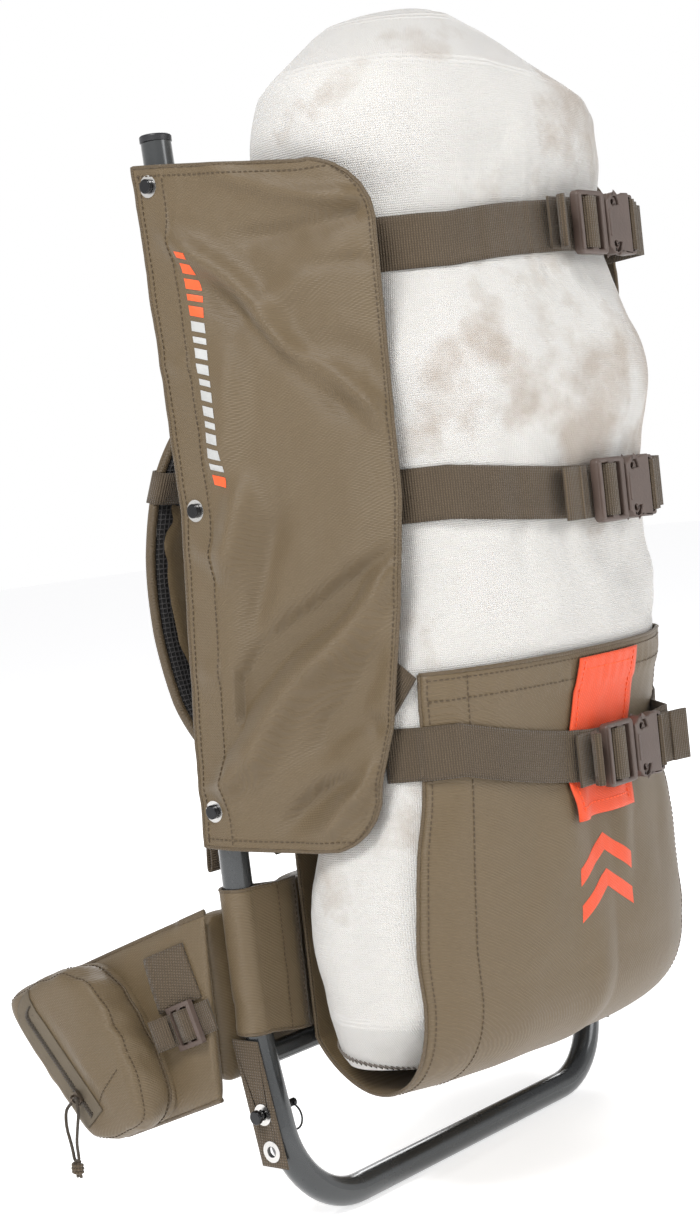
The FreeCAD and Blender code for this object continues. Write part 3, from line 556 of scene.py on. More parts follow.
# ------------------------------------------------------------------ wings
# creases as s0, z0, s1, z1 in mm from the front edge, half width and height (minus is a valley)
CREASES = (
    (30, 728, 112, 642, 9, 4.0), (96, 652, 188, 552, 7, 3.6), (52, 690, 150, 590, 11, -3.6),
    (74, 674, 140, 598, 6, 2.2), (188, 735, 120, 744, 6, 2.4), (186, 728, 84, 716, 8, -2.4),
    (120, 748, 66, 770, 8, 2.0), (187, 688, 120, 690, 6, -1.8), (150, 700, 80, 655, 10, 2.0),
    (186, 600, 130, 640, 12, -2.0), (60, 640, 38, 560, 12, 2.2), (187, 505, 135, 470, 7, -3.0),
    (136, 472, 66, 420, 12, -6.0), (70, 424, 24, 366, 13, -5.0), (160, 476, 104, 418, 11, 4.6),
    (108, 424, 40, 344, 14, 6.0), (60, 545, 34, 486, 11, 4.2), (80, 520, 50, 440, 10, -2.6),
    (40, 350, 26, 318, 8, 3.2), (188, 366, 108, 371, 8, -2.6), (150, 420, 96, 352, 13, -3.4),
    (186, 322, 128, 326, 7, -3.4), (150, 338, 96, 296, 9, 4.2), (116, 330, 74, 300, 9, -3.2),
    (172, 345, 118, 322, 7, 2.4), (10, 508, 30, 500, 7, 2.0), (6, 486, 28, 480, 6, -1.8),
    (4, 640, 28, 634, 7, 1.6), (4, 420, 28, 414, 9, 1.6), (6, 330, 28, 338, 6, 1.8),
)
CREASE_DEPTH = 2.6
HEM = 28 * MM


def crease_relief(s, z):
    total = 0.0
    for s0, z0, s1, z1, width, height in CREASES:
        dx, dz = s1 - s0, z1 - z0
        length = math.hypot(dx, dz)
        along = ((s - s0) * dx + (z - z0) * dz) / length
        if not -22 < along < length + 22:
            continue
        off = ((s - s0) * dz - (z - z0) * dx) / length
        off += 3.0 * math.sin(along * 0.045 + z0)
        fade = smooth((along + 20) / 40) * smooth((length + 20 - along) / 40)
        total += height * fade * math.exp(-(off / width) ** 2)
    return total * MM


PIN_HEIGHTS = (766, 532, 313)


# where the columns of a wing's grid lie, in mm from its front edge and from its rear edge
WING_FRONT_COLUMNS = (0, 1.2, 3.5, 5.0, 8, 12, 17, 22, 26, 27.4, 28.6, 31)
WING_REAR_COLUMNS = (7.5, 6.2, 5.0, 2.5, 1.0, 0)
WING_ROWS = 150
RIGHT_WING_CURVE = 0.034


class WingSurface:
    """The left wing's solid, seen from outside along X."""

    def __init__(self):
        self.tree = tree_of(NODES["wing_left"])
        self.low, self.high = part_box("wing_left")

    def at(self, y, z):
        return cast(self.tree, Vector((-0.4, y, z)), Vector((1, 0, 0)))

    def over_holes(self, y, z):
        """The point there, or one between its neighbours where the solid has a hole."""
        p = self.at(y, z)
        if p is None:
            beside = [q for q in (self.at(y - 0.012, z), self.at(y + 0.012, z)) if q is not None]
            p = Vector((sum(q.x for q in beside) / max(1, len(beside)), y, z)) if beside else None
        return p

    def height(self, y, t):
        """A row's height at y: t is 0 along the bottom edge and 1 along the top edge."""
        back = (self.high.y - y) / (self.high.y - self.low.y)
        bottom = self.low.z + 0.0062 - 0.005 * min(1.0, back / 0.5)
        top = self.high.z - 0.001 - 0.018 * min(1.0, back / 0.746)
        return lerp(bottom, top, t)

    def edge(self, t, start, step):
        """y of the cloth's edge along a row, found from outside inwards."""
        y = start
        while self.at(y, self.height(y, t)) is None and abs(y - start) < 0.15:
            y += step
        outside, inside = y - step, y
        for _ in range(10):
            middle = (inside + outside) / 2
            if self.at(middle, self.height(middle, t)) is None:
                outside = middle
            else:
                inside = middle
        return inside

    def row(self, t):
        """Points along a row, and how far each is from the front edge."""
        front = self.edge(t, 0.03, -0.001)
        span = front - self.edge(t, -0.18, 0.001)
        near = [k * MM for k in WING_FRONT_COLUMNS]
        far = [k * MM for k in WING_REAR_COLUMNS]
        inner = span - near[-1] - far[0]
        steps = near + [near[-1] + inner * k / 44 for k in range(1, 44)] + [span - k for k in far]
        row = []
        for along in steps:
            y = front - along
            p = self.over_holes(y, self.height(y, t))
            row.append(p if p is not None else row[-1] + Vector((0, -0.0004, 0)))
        return row, steps


def wing_relief(p, s, from_rear):
    """How far the cloth stands off the plain wing: creases, a fine unevenness, the hem's step."""
    rise = crease_relief(s / MM, p.z / MM) * CREASE_DEPTH
    rise *= smooth(from_rear / 0.012) * 0.9 + 0.1
    rise *= smooth(s / 0.02) * 0.65 + 0.35
    rise += 0.0009 * noise.noise(p * 42.0) + 0.0004 * noise.noise(p * 120.0)
    rise += 0.0008 * (1 - smooth((s - HEM + 0.0008) / 0.0016))
    rise -= 0.0006 * bump_at(s, HEM + 0.0002, 0.0009)
    rise = max(rise, -0.0075)
    pin = min(math.hypot(p.y - rail_lean(z * MM), p.z - z * MM) for z in PIN_HEIGHTS)
    rise *= smooth((pin - 0.007) / 0.012)
    return max(0.0, rise) if p.y > -0.03 else rise


def wing_rows(side):
    """Rows of points on a wing, from its front edge backwards."""
    solid = WingSurface()
    rows, lengths = [], []
    for i in range(WING_ROWS + 1):
        t = i / WING_ROWS
        row, steps = solid.row(lerp(t, 0.5 - 0.5 * math.cos(math.pi * t), 0.55))
        rows.append(row)
        lengths.append(steps)
    normals = row_normals(rows)
    result = []
    for row, steps, line_normals in zip(rows, lengths, normals):
        line = []
        for p, s, n in zip(row, steps, line_normals):
            if n.x > 0:
                n = -n
            q = p + n * wing_relief(p, s, steps[-1] - s)
            if side > 0:
                q.x += RIGHT_WING_CURVE * smooth((-q.y - 0.07) / 0.095)
            line.append(Vector((q.x * -side, q.y, q.z)))
        result.append(line)
    return result


def make_wing(name, side):
    rows = wing_rows(side)
    piece = cloth("wing_cloth_" + name, rows, "twill", CLOTH, "pack", "twill", "wing_" + name)
    border = [row[0] for row in rows] + rows[-1][1:] + [row[-1] for row in rows[::-1]][1:] + rows[0][-2:0:-1]
    edge = tube("wing_binding_" + name, border, 0.00155, "binding", closed=True, sides=8)
    place(edge, "pack", "twill")
    surface = tree_of(piece)
    outwards = Vector((side, 0, 0))
    stitches = Stitching()

    def normal_at(p):
        n = surface.find_nearest(p)[1]
        return n if n.dot(outwards) > 0 else -n

    def on_skin(points):
        lifted = [cast(surface, Vector((side * 0.4, p.y, p.z)), -outwards, 0.0001) for p in points]
        return [p for p in lifted if p is not None]

    for column in (3, 9):
        stitches.line(on_skin([row[column] for row in rows[2:-2]]), normal_at)
    stitches.line(on_skin([row[-3] for row in rows[3:-3]]), normal_at)
    for k in (4, -5):
        stitches.line(on_skin(rows[k][2:-2]), normal_at)
    place(stitches.piece("wing_stitching_" + name), "pack", "twill")
    make_embroidery(name, side, surface)


def patch(name, corners, to_surface, lift, material, steps=7):
    """A thin four-cornered patch on a surface. to_surface turns a flat pair into a point and its normal."""
    rows = []
    for i in range(steps + 1):
        row = []
        for j in range(steps + 1):
            u, v = i / steps, j / steps
            a = [lerp(corners[0][k], corners[1][k], u) for k in (0, 1)]
            b = [lerp(corners[3][k], corners[2][k], u) for k in (0, 1)]
            p, n = to_surface(lerp(a[0], b[0], v), lerp(a[1], b[1], v))
            edge = min(u, v, 1 - u, 1 - v)
            row.append(p + n * lift * (0.35 + 0.65 * smooth(edge * 6)))
        rows.append(row)
    return grid(name, rows, material)


def joined(name, pieces):
    """Several pieces as one mesh object."""
    bm = bmesh.new()
    for piece in pieces:
        bm.from_mesh(piece.data)
    mesh = bpy.data.meshes.new(name)
    bm.to_mesh(mesh)
    bm.free()
    material = pieces[0].data.materials[0].name
    for piece in pieces:
        bpy.data.objects.remove(piece)
    mesh.polygons.foreach_set("use_smooth", [True] * len(mesh.polygons))
    key = next(k for k, m in MATERIALS.items() if m.name == material)
    return new_object(name, mesh, key)


def make_embroidery(name, side, surface):
    """A plain line of slanted bars beside the front hem: bright, grey, then bright again."""
    def to_surface(s, z):
        y = 0.013 + rail_lean(z) - s
        p = cast(surface, Vector((side * 0.4, y, z)), Vector((-side, 0, 0)))
        return (p if p is not None else Vector((side * 0.214, y, z))), Vector((side, 0, 0))

    bars = {"orange": [], "grey": []}
    slots = {"orange": "orange", "grey": "webbing"}
    z = 0.716
    near, wide, slant, gap = HEM + 0.0065, 0.0105, 0.0032, 0.0038
    for i in range(17):
        tall = 0.0072 if i % 3 else 0.0045
        corners = [(near, z), (near, z - tall), (near + wide, z - tall - slant), (near + wide, z - slant)]
        key = "orange" if i < 5 or i > 15 else "grey"
        bars[key].append(patch("bar", corners, to_surface, 0.0007, "thread_" + key, 5))
        z -= tall + gap
    for key, pieces in bars.items():
        place(joined("wing_%s_bars_%s" % (key, name), pieces), "pack", slots[key])


def rail_lean(z):
    """The rail's offset at a height."""
    z /= MM
    points = ((0, -26), (150, 0), (322, 3), (540, -13), (800, 0))
    for (z0, y0), (z1, y1) in zip(points[:-1], points[1:]):
        if z <= z1:
            return lerp(y0, y1, (z - z0) / (z1 - z0)) * MM
    return 0.0


# ------------------------------------------------------------------ sling
SLING_TOP = 0.398
SLING_TURN = 0.172


def sling_angles(z):
    t = min(1.0, max(0.0, (SLING_TOP - z) / 0.194))
    return lerp(-160.5, -166.5, t), lerp(-19.5, -15.0, t)


def sling_rows(bag_tree):
    """Rows down the bag's rear, a bend under it, and up the front."""
    columns = 72
    rows = []
    for i in range(48):
        z = lerp(SLING_TOP + 0.004, SLING_TURN, i / 47)
        first, last = sling_angles(z)
        row = []
        for k in range(columns + 1):
            angle = lerp(first, last, k / columns)
            p = onto_bag(bag_tree, angle, z, 0.0022)
            row.append(p + heading(angle) * sling_relief(p, k / columns))
        rows.append(row)
    rear = rows[-1]
    front = [Vector((lerp(-0.15, 0.15, k / columns), -0.0142, 0.13)) for k in range(columns + 1)]
    for i in range(1, 26):
        t = i / 26
        row = []
        for a, d in zip(rear, front):
            b, c = a + mm(0, 2, -88), d + mm(0, -30, -52)
            p = a * (1 - t) ** 3 + b * (3 * t * (1 - t) ** 2) + c * (3 * t * t * (1 - t)) + d * t ** 3
            row.append(p + Vector((0, 0, -0.0012 * math.sin(math.pi * t) * (1 + noise.noise(p * 20)))))
        rows.append(row)
    rows += [[p + Vector((0, 0, 0.0272 * i)) for p in front] for i in range(11)]
    return rows


def sling_relief(p, across):
    """Folds in the sling's rear face: soft drapes that hang from the bottom strap and fan to the corners."""
    z = p.z
    below = smooth((0.318 - z) / 0.04)
    fan = 0.0034 * math.sin(across * 21.0 + (0.32 - z) * 16.0 + 0.8) * below * smooth((z - 0.15) / 0.12)
    wide = 0.0048 * bump_at(across, 0.33 + (0.3 - z) * 0.9, 0.075) * below
    hollow = -0.0022 * bump_at(across, 0.5 + (0.3 - z) * 0.5, 0.06) * below
    gathered = 0.0012 * math.sin(across * 150.0) * bump_at(z, 0.386, 0.01)
    drop = 0.0045 * smooth((0.23 - z) / 0.06) * (0.35 + smooth((across - 0.45) / 0.4))
    drop += 0.003 * smooth((0.23 - z) / 0.06) * smooth((across - 0.6) / 0.35)
    fine = 0.0008 * noise.noise(p * 40.0)
    hem = 0.0009 * (1 - smooth((min(across, 1 - across) - 0.068) / 0.008))
    top = 0.0012 * (1 - smooth((SLING_TOP - 0.0205 - z) / 0.002)) if z > SLING_TOP - 0.03 else 0.0
    return max(0.0, fan + wide + hollow + gathered + fine) + drop + hem + top


def make_sling(bag_tree):
    rows = sling_rows(bag_tree)
    piece = cloth("sling_cloth", rows, "twill", CLOTH, "pack", "twill", "sling")
    surface = tree_of(piece)
    bindings = []
    edges = {"near": [row[0] for row in rows], "far": [row[-1] for row in rows], "top": rows[0]}
    for label, line in edges.items():
        bindings.append(tube("sling_binding_" + label, line, 0.0014, "binding"))
        place(bindings[-1], "pack", "twill")
    stitches = Stitching()

    def normal_at(p):
        n = surface.find_nearest(p)[1]
        away = p - Vector((BAG_AXIS.x, BAG_AXIS.y, max(p.z, 0.16)))
        return n if n.dot(away) > 0 else -n

    def skin(points):
        return [p + normal_at(p) * (CLOTH * 0.55) for p in points]

    for column in (1, 6, 66, 71):
        stitches.line(skin([row[column] for row in rows[:66]]), normal_at)
    for k in (4, 1):
        stitches.line(skin(rows[k][1:-1]), normal_at)
    place(stitches.piece("sling_stitching"), "pack", "twill")
    return surface


def make_sling_tab(tree):
    """The bright tab over the sling's top edge, slack below the strap."""
    away = Vector((0, -1, 0))
    rows = []
    for i in range(40):
        t = i / 39
        z = lerp(0.3965, 0.279, t)
        left, right = lerp(-0.045, -0.058, t), lerp(0.034, 0.022, t)
        row = []
        for k in range(25):
            p = cast(tree, Vector((lerp(left, right, k / 24), -0.5, z)), -away, 0.0016)
            hem = 0.0008 if (t > 0.93 or t < 0.07 or k in (0, 1, 23, 24)) else 0.0
            slack = 0.0022 * smooth((t - 0.72) / 0.2) * (1 + math.sin(k * 0.5))
            row.append(p + away * (hem + slack + 0.0006 * noise.noise(p * 60)))
        rows.append(row)
    piece = cloth("sling_tab_cloth", rows, "orange", 0.0011, "pack", "orange", "sling_tab")
    stitches = Stitching()
    columns = [[row[k] for row in rows[1:-1]] for k in (2, -3)]
    for line in columns + [rows[-4][2:-2], rows[3][2:-2]]:
        stitches.line([p + away * 0.0007 for p in line], lambda p: away)
    place(stitches.piece("sling_tab_stitching", "thread_orange"), "pack", "orange")
    return piece


def make_sling_mark(surface):
    """A plain pair of chevrons printed on the sling."""
    def to_surface(x, z):
        p = cast(surface, Vector((x, -0.5, z)), Vector((0, 1, 0)))
        return (p if p is not None else Vector((x, -0.2, z))), Vector((0, -1, 0))

    pieces = []
    for k in range(2):
        base = 0.203 + 0.027 * k
        for half in (-1, 1):
            centre, reach, rise, thick = -0.018, 0.034 * half, 0.021, 0.013
            corners = [(centre, base + rise), (centre, base + rise + thick),
                       (centre + reach, base + thick), (centre + reach, base)]
            pieces.append(patch("chevron", corners, to_surface, 0.0005, "orange", 9))
    place(joined("sling_printed_chevrons", pieces), "pack", "orange")


# ------------------------------------------------------------------ straps
def strip(name, centres, half, material="webbing", thickness=WEB):
    """Webbing along centre points. half is its half-width vector."""
    rows = [[c + half * (-1 + 2 * k / 4) for k in range(5)] for c in centres]
    return thickened(grid(name, rows, material), thickness)


def soft_strip(name, points, width, across, thickness=WEB):
    """Webbing along a smooth line through points, its width along one direction."""
    return strip(name, smooth_line(points, 6), across.normalized() * width / 2, thickness=thickness)


def smooth_line(points, subdivide):
    """A Catmull-Rom line through points."""
    result = []
    last = len(points) - 1
    for i in range(last):
        a, b, c, d = points[max(0, i - 1)], points[i], points[i + 1], points[min(last, i + 2)]
        for k in range(subdivide):
            t = k / subdivide
            result.append(0.5 * (2 * b + (c - a) * t + (2 * a - 5 * b + 4 * c - d) * t * t
                                 + (3 * b - a - 3 * c + d) * t ** 3))
    result.append(points[-1].copy())
    return result


def strap_plane(level):
    """y of the strap's outer face at the buckle."""
    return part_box("strap_tail_" + level)[1].y + 0.0005


def strap_heights(level, x):
    """z of nine points across a strap at x."""
    return [strap_z(level, x) + (k / 4 - 1) * STRAP_WIDTH / 2 for k in range(9)]


def strap_rows(tree, level, side, stop):
    """Rows of a strap on the load, from the wing's edge until it nears its stop."""
    first = -172.0 if side < 0 else -8.0
    rows = []
    for i in range(64):
        angle = first - side * i * 1.55
        probe = onto_bag(tree, angle, strap_z(level, side * 0.16), 0.0)
        if (probe.x - stop) * side < 0.042:
            break
        row = [onto_bag(tree, angle, z, 0.0011) for z in strap_heights(level, probe.x)]
        reaches = [(Vector((p.x, p.y, 0)) - BAG_AXIS).length for p in row]
        out = heading(angle)
        rows.append([p + out * (max(reaches) - reach) * 0.7 for p, reach in zip(row, reaches)])
    return rows


def make_compression_straps(tree):
    """Both halves of each strap: from a wing's edge round the load to the buckle."""
    for level in LEVELS:
        buckle_x = STRAPS[level][2] * MM
        y = strap_plane(level) + WEB / 2
        for name, side in SIDES.items():
            stop = buckle_x - 0.012 if side < 0 else buckle_x + 0.036
            rows = strap_rows(tree, level, side, stop)
            bend = stop + side * 0.03
            near = [Vector((bend, y, z)) for z in strap_heights(level, bend)]
            end = [Vector((stop, y, z)) for z in strap_heights(level, stop)]
            bridge = [[a.lerp(b, t / 5) for a, b in zip(rows[-1], near)] for t in range(1, 6)]
            rows += bridge + [[a.lerp(b, t / 4) for a, b in zip(near, end)] for t in range(1, 5)]
            piece = cloth("compression_strap_%s_%s" % (level, name), rows, "webbing", WEB, "pack", "webbing")
            if level == "top":
                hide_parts("compression_straps_" + name)


def outline_piece(name, outer, holes, thickness, bevel, matrix):
    """A flat moulded shape with holes and rounded rims, from outlines in mm."""
    data = bpy.data.curves.new(name, "CURVE")
    data.dimensions = "2D"
    data.fill_mode = "BOTH"
    data.extrude = (thickness / 2 - bevel) * MM
    data.bevel_depth = bevel * MM
    data.bevel_resolution = 2
    for outline in [outer] + holes:
        spline = data.splines.new("POLY")
        spline.points.add(len(outline) - 1)
        shrunk = offset_outline(outline, bevel if outline is outer else -bevel)
        for point, (x, y) in zip(spline.points, shrunk):
            point.co = (x * MM, y * MM, 0, 1)
        spline.use_cyclic_u = True
    holder = bpy.data.objects.new(name, data)
    bpy.context.scene.collection.objects.link(holder)
    bpy.context.view_layer.update()
    mesh = bpy.data.meshes.new_from_object(holder.evaluated_get(bpy.context.evaluated_depsgraph_get()))
    bpy.data.objects.remove(holder)
    mesh.transform(matrix)
    mesh.polygons.foreach_set("use_smooth", [False] * len(mesh.polygons))
    return new_object(name, mesh, "buckle")


def offset_outline(outline, inset):
    """Moves an outline inwards, or outwards where inset is negative."""
    area = sum(a[0] * b[1] - b[0] * a[1] for a, b in zip(outline, outline[1:] + outline[:1]))
    sign = 1 if area > 0 else -1
    result = []
    count = len(outline)
    for i in range(count):
        a, b, c = outline[i - 1], outline[i], outline[(i + 1) % count]
        n1 = Vector((a[1] - b[1], b[0] - a[0])).normalized()
        n2 = Vector((b[1] - c[1], c[0] - b[0])).normalized()
        n = (n1 + n2)
        n = n / max(0.5, n.length_squared / 2)
        result.append((b[0] + n.x * inset * sign, b[1] + n.y * inset * sign))
    return result


def arc(cx, cy, radius, start, end, steps):
    """Points round a centre between two angles in degrees."""
    angles = [math.radians(lerp(start, end, k / steps)) for k in range(steps + 1)]
    return [(cx + radius * math.cos(a), cy + radius * math.sin(a)) for a in angles]


def rounded_box(x0, x1, y0, y1, r, steps=4):
    points = []
    corners = ((x1 - r, y1 - r, 0), (x0 + r, y1 - r, 90), (x0 + r, y0 + r, 180), (x1 - r, y0 + r, 270))
    for cx, cy, start in corners:
        points += arc(cx, cy, r, start, start + 90, steps)
    return points


def bean(cx, cy, radius, start, end, half):
    """A bent slot: an arc of a radius about a centre."""
    return arc(cx, cy, radius + half, start, end, 8) + arc(cx, cy, radius - half, end, start, 8)


def flipped(outline):
    return [(x, -y) for x, y in outline][::-1]


def buckle_matrix(level, w):
    """From (u, z, lift) in a flat drawing to the buckle's place, w mm out from the strap."""
    buckle_x, z = STRAPS[level][2] * MM, STRAPS[level][1] * MM
    y = strap_plane(level) - w * MM
    return Matrix(((1, 0, 0, buckle_x), (0, 0, -1, y), (0, 1, 0, z), (0, 0, 0, 1)))


# outlines in mm: half of the female shell, and one arm of the male half
BUCKLE_SHELL = ((0.5, 17), (3, 19), (5.5, 21.8), (10, 23.2), (15, 21.6), (19, 21.9), (22, 23), (30.5, 23.3),
                (31.3, 22))
BUCKLE_ARM = ((-2, 12), (12, 12.4), (13, 13.2), (21, 13.6), (22, 15.5), (20.5, 19.4), (14, 20), (11.5, 17.2),
              (-2, 17))


def make_buckles():
    slots = [bean(5, 12.5, 10.5, 8, 62, 1.7), bean(8.5, 15.5, 1.6, 0, 315, 0.9)]
    slots += [flipped(h) for h in slots]
    shell = (list(BUCKLE_SHELL) + flipped(BUCKLE_SHELL))[::-1]
    windows = [rounded_box(x0, x1, -19.6, 19.6, 1.4) for x0, x1 in ((-32.2, -22.8), (-15.2, -6.4))]
    # outline, holes, thickness, rounding and distance out from the strap
    female = (
        (shell, slots, 10.2, 1.2, 7.4),
        (rounded_box(30.6, 40.4, -22.6, 22.6, 2.2), [rounded_box(32.4, 36.6, -19.6, 19.6, 1.2)], 6.4, 1.0, 6.6),
        (rounded_box(1.8, 4.4, -10, 10, 1.2), [], 1.4, 0.5, 12.6),
    )
    male = (
        (rounded_box(-37.2, -0.9, -23.4, 23.4, 4.2, 6), windows, 7.6, 1.5, 7.9),
        (rounded_box(-37.0, -33.6, -21, 21, 1.6), [], 3.2, 0.9, 11.6),
        (rounded_box(-3, 21, -3.4, 3.4, 1.4), [], 4.0, 0.8, 7.4),
        (list(BUCKLE_ARM), [], 4.2, 0.8, 7.4),
        ([(x, -y) for x, y in BUCKLE_ARM], [], 4.2, 0.8, 7.4),
    )
    for level in LEVELS:
        for half, label, parts, body in (("female", "shell", female, "pack"),
                                         ("male", "frame", male, "buckle_male_" + level)):
            pieces = [outline_piece("part", outer, holes, thickness, bevel, buckle_matrix(level, w))
                      for outer, holes, thickness, bevel, w in parts]
            piece = joined("buckle_%s_%s_%s" % (half, label, level), pieces)
            modified(piece, ("EDGE_SPLIT", {"split_angle": math.radians(40)}))
            place(piece, body, "plastic", "buckle_%s_%s" % (half, level))
        make_buckle_webbing(level)


# webbing seen from the side, as mm along the strap and mm out from it
TAIL_WRAP = ((-62, 1.4), (-48, 1.3), (-36, 1.4), (-31, 3.2), (-28, 7.5), (-24.4, 11.2), (-19, 12.4), (-14, 11.4),
             (-11, 8), (-8.6, 4.2))
TAIL_FOLDS = {
    "top": ((-40, 2.2), (-48, 3.4), (-56, 6.4), (-60, 10.6), (-59.4, 13.8), (-56.6, 12.4), (-54.4, 8.8),
            (-50, 5.4), (-46, 4.3)),
    "middle": ((-40, 3.2), (-50, 3.3), (-66, 3.2), (-70.4, 4.4), (-66, 5.9), (-56, 5.7), (-53.6, 7.0),
               (-52.4, 5.6), (-49, 5.0)),
    "bottom": ((-38, 3.2), (-44, 4.0), (-50, 7.0), (-52.6, 11.8), (-51, 14.4), (-48.6, 11.8), (-47.0, 8),
               (-43, 5.6), (-40, 5.2)),
}
FEMALE_LOOP = ((52, 0.9), (44, 1.0), (39.5, 2.4), (36.4, 6.2), (35.8, 9.8), (38.2, 11.4), (41.0, 9.6), (43.2, 5.6),
               (47, 3.4), (56, 2.7))
LOOSE_TAB = ((46, 4.4), (56, 5.0), (66, 6.2), (74, 7.8), (76.5, 9.0), (74, 10.2), (66, 8.4), (58, 7.0))


def make_buckle_webbing(level):
    """The webbing over the male part's middle bar, its folded end, and the sewn loop at the female end."""
    matrix = buckle_matrix(level, 0)
    body = "buckle_male_" + level

    def web(label, pairs, on, *nodes):
        line = [matrix @ mm(u, 0, w) for u, w in pairs]
        place(soft_strip(label + level, line, STRAP_WIDTH, Vector((0, 0, 1))), on, "webbing", *nodes)

    web("strap_tail_wrap_", TAIL_WRAP, body, "strap_tail_" + level)
    web("strap_tail_fold_", TAIL_FOLDS[level], body)
    web("strap_loop_", FEMALE_LOOP, "pack")
    if level == "bottom":
        web("strap_loose_tab_", LOOSE_TAB, "pack")


def make_sling_straps():
    for name, side in SIDES.items():
        low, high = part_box("sling_strap_" + name)
        inner, outer = (high.x, low.x) if side < 0 else (low.x, high.x)
        start = Vector((inner - side * 0.002, low.y + 0.012, low.z + 0.014))
        end = Vector((outer + side * -0.003, high.y - 0.012, high.z - 0.014))
        bow = mm(side * 1, 0, 0)
        points = [start, start.lerp(end, 0.33) + bow, start.lerp(end, 0.66) + bow, end]
        piece = soft_strip("sling_side_strap_" + name, points, STRAP_WIDTH, Vector((0, -0.66, 0.75)))
        place(piece, "pack", "webbing", "sling_strap_" + name)


# ------------------------------------------------------------------ padded pieces
CLOTH_FRAMES = 14


def swelled_points(piece, pressure):
    """Where a closed cloth's points are after a short time under pressure."""
    modifier = piece.modifiers.new("cloth", "CLOTH")
    settings = modifier.settings
    settings.use_pressure = True
    settings.uniform_pressure_force = pressure
    settings.effector_weights.gravity = 0.0
    settings.mass = 0.25
    settings.tension_stiffness = 25
    settings.compression_stiffness = 12
    settings.bending_stiffness = 1.2
    settings.quality = 5
    modifier.point_cache.frame_start = 1
    modifier.point_cache.frame_end = CLOTH_FRAMES
    for step in range(1, CLOTH_FRAMES + 1):
        bpy.context.scene.frame_set(step)
    swelled = piece.evaluated_get(bpy.context.evaluated_depsgraph_get()).to_mesh()
    moved = [v.co.copy() for v in swelled.vertices]
    piece.modifiers.clear()
    return moved


def inflated(name, node, voxel, pressure, cap):
    """A padded piece from a plain solid: remeshed, then swelled as sewn cloth by up to a cap."""
    piece = new_object(name, NODES[node].data.copy(), "twill")
    modified(piece, ("REMESH", {"mode": "VOXEL", "voxel_size": voxel}),
             ("SMOOTH", {"factor": 0.5, "iterations": 4}))
    rest = [v.co.copy() for v in piece.data.vertices]
    for v in piece.data.vertices:
        v.co += v.normal * -0.0015
    moved = swelled_points(piece, pressure)
    for v, a, b in zip(piece.data.vertices, rest, moved):
        shift = b - a
        if shift.length > cap:
            shift *= cap / shift.length
        v.co = a + shift
    bpy.context.scene.frame_set(1)
    for v in piece.data.vertices:
        v.co += v.normal * (0.0007 * noise.noise(v.co * 60.0))
    modified(piece, ("SUBSURF", {"levels": 1, "render_levels": 1}))
    dressed(piece, MATERIALS["twill"])
    place(piece, "pack", "twill", node)


# the middle line of a shoulder strap: x, y, z, width in mm
SHOULDER = (
    (-52, 31, 646, 62), (-62, 52, 636, 66), (-84, 78, 606, 70), (-104, 96, 560, 72),
    (-114, 105, 500, 72), (-117, 105, 440, 68), (-116, 98, 385, 58), (-112, 88, 352, 44),
)


def shoulder_line(side, width_at, off):
    """A line on the strap's pad, width_at from its middle (-0.5 to 0.5) and off mm away from the frame."""
    middles = smooth_line([mm(x, y, z) for x, y, z, w in SHOULDER], 8)
    widths = [w for x, y, z, w in SHOULDER]
    result = []
    for i, p in enumerate(middles):
        t = i / 8
        k = min(len(widths) - 2, int(t))
        width = lerp(widths[k], widths[k + 1], min(1.0, t - k))
        a, b = middles[max(0, i - 1)], middles[min(len(middles) - 1, i + 1)]
        n = Vector((0, a.z - b.z, b.y - a.y)).normalized()
        q = p + Vector((width * width_at * MM, 0, 0)) + n * off * MM
        result.append(Vector((q.x * -side, q.y, q.z)))
    return result


def make_keeper(name, line):
    """The webbing that runs round the shoulder pad."""
    index = min(range(len(line)), key=lambda i: abs(line[i].z - 0.554))
    a, b = line[index - 1], line[index + 1]
    n = Vector((0, a.z - b.z, b.y - a.y)).normalized()
    along = (b - a).normalized()
    loop = []
    for k in range(33):
        w = 2 * math.pi * k / 32
        x = math.copysign(abs(math.cos(w)) ** 0.35, math.cos(w)) * 0.0385
        y = math.copysign(abs(math.sin(w)) ** 0.6, math.sin(w)) * 0.0098
        loop.append(line[index] + Vector((x, 0, 0)) + n * y)
    rows = [[p + along * (0.0125 * t) for t in (-1, -0.33, 0.33, 1)] for p in loop]
    cloth("shoulder_keeper_" + name, rows, "webbing", 0.0014, "pack", "webbing")


# webbing below and above a shoulder pad, as distance from the middle plane, y and z in mm
LOWER_WEB = ((112, 82.6, 331), (112.5, 79, 318), (114, 66, 297), (118, 44, 279), (122, 21, 265))
TAIL_WEB = ((112, 84.0, 316), (112, 90.5, 326), (112, 96.5, 320), (112, 101, 296), (112, 100.5, 270),
            (112, 101.5, 250), (112, 104.5, 246.5), (112, 106, 250), (112, 104.5, 268))
LIFTER_WEB = ((56, 42, 650), (60, 46, 657), (68, 40, 668), (76, 28, 680), (78, 26.5, 686))


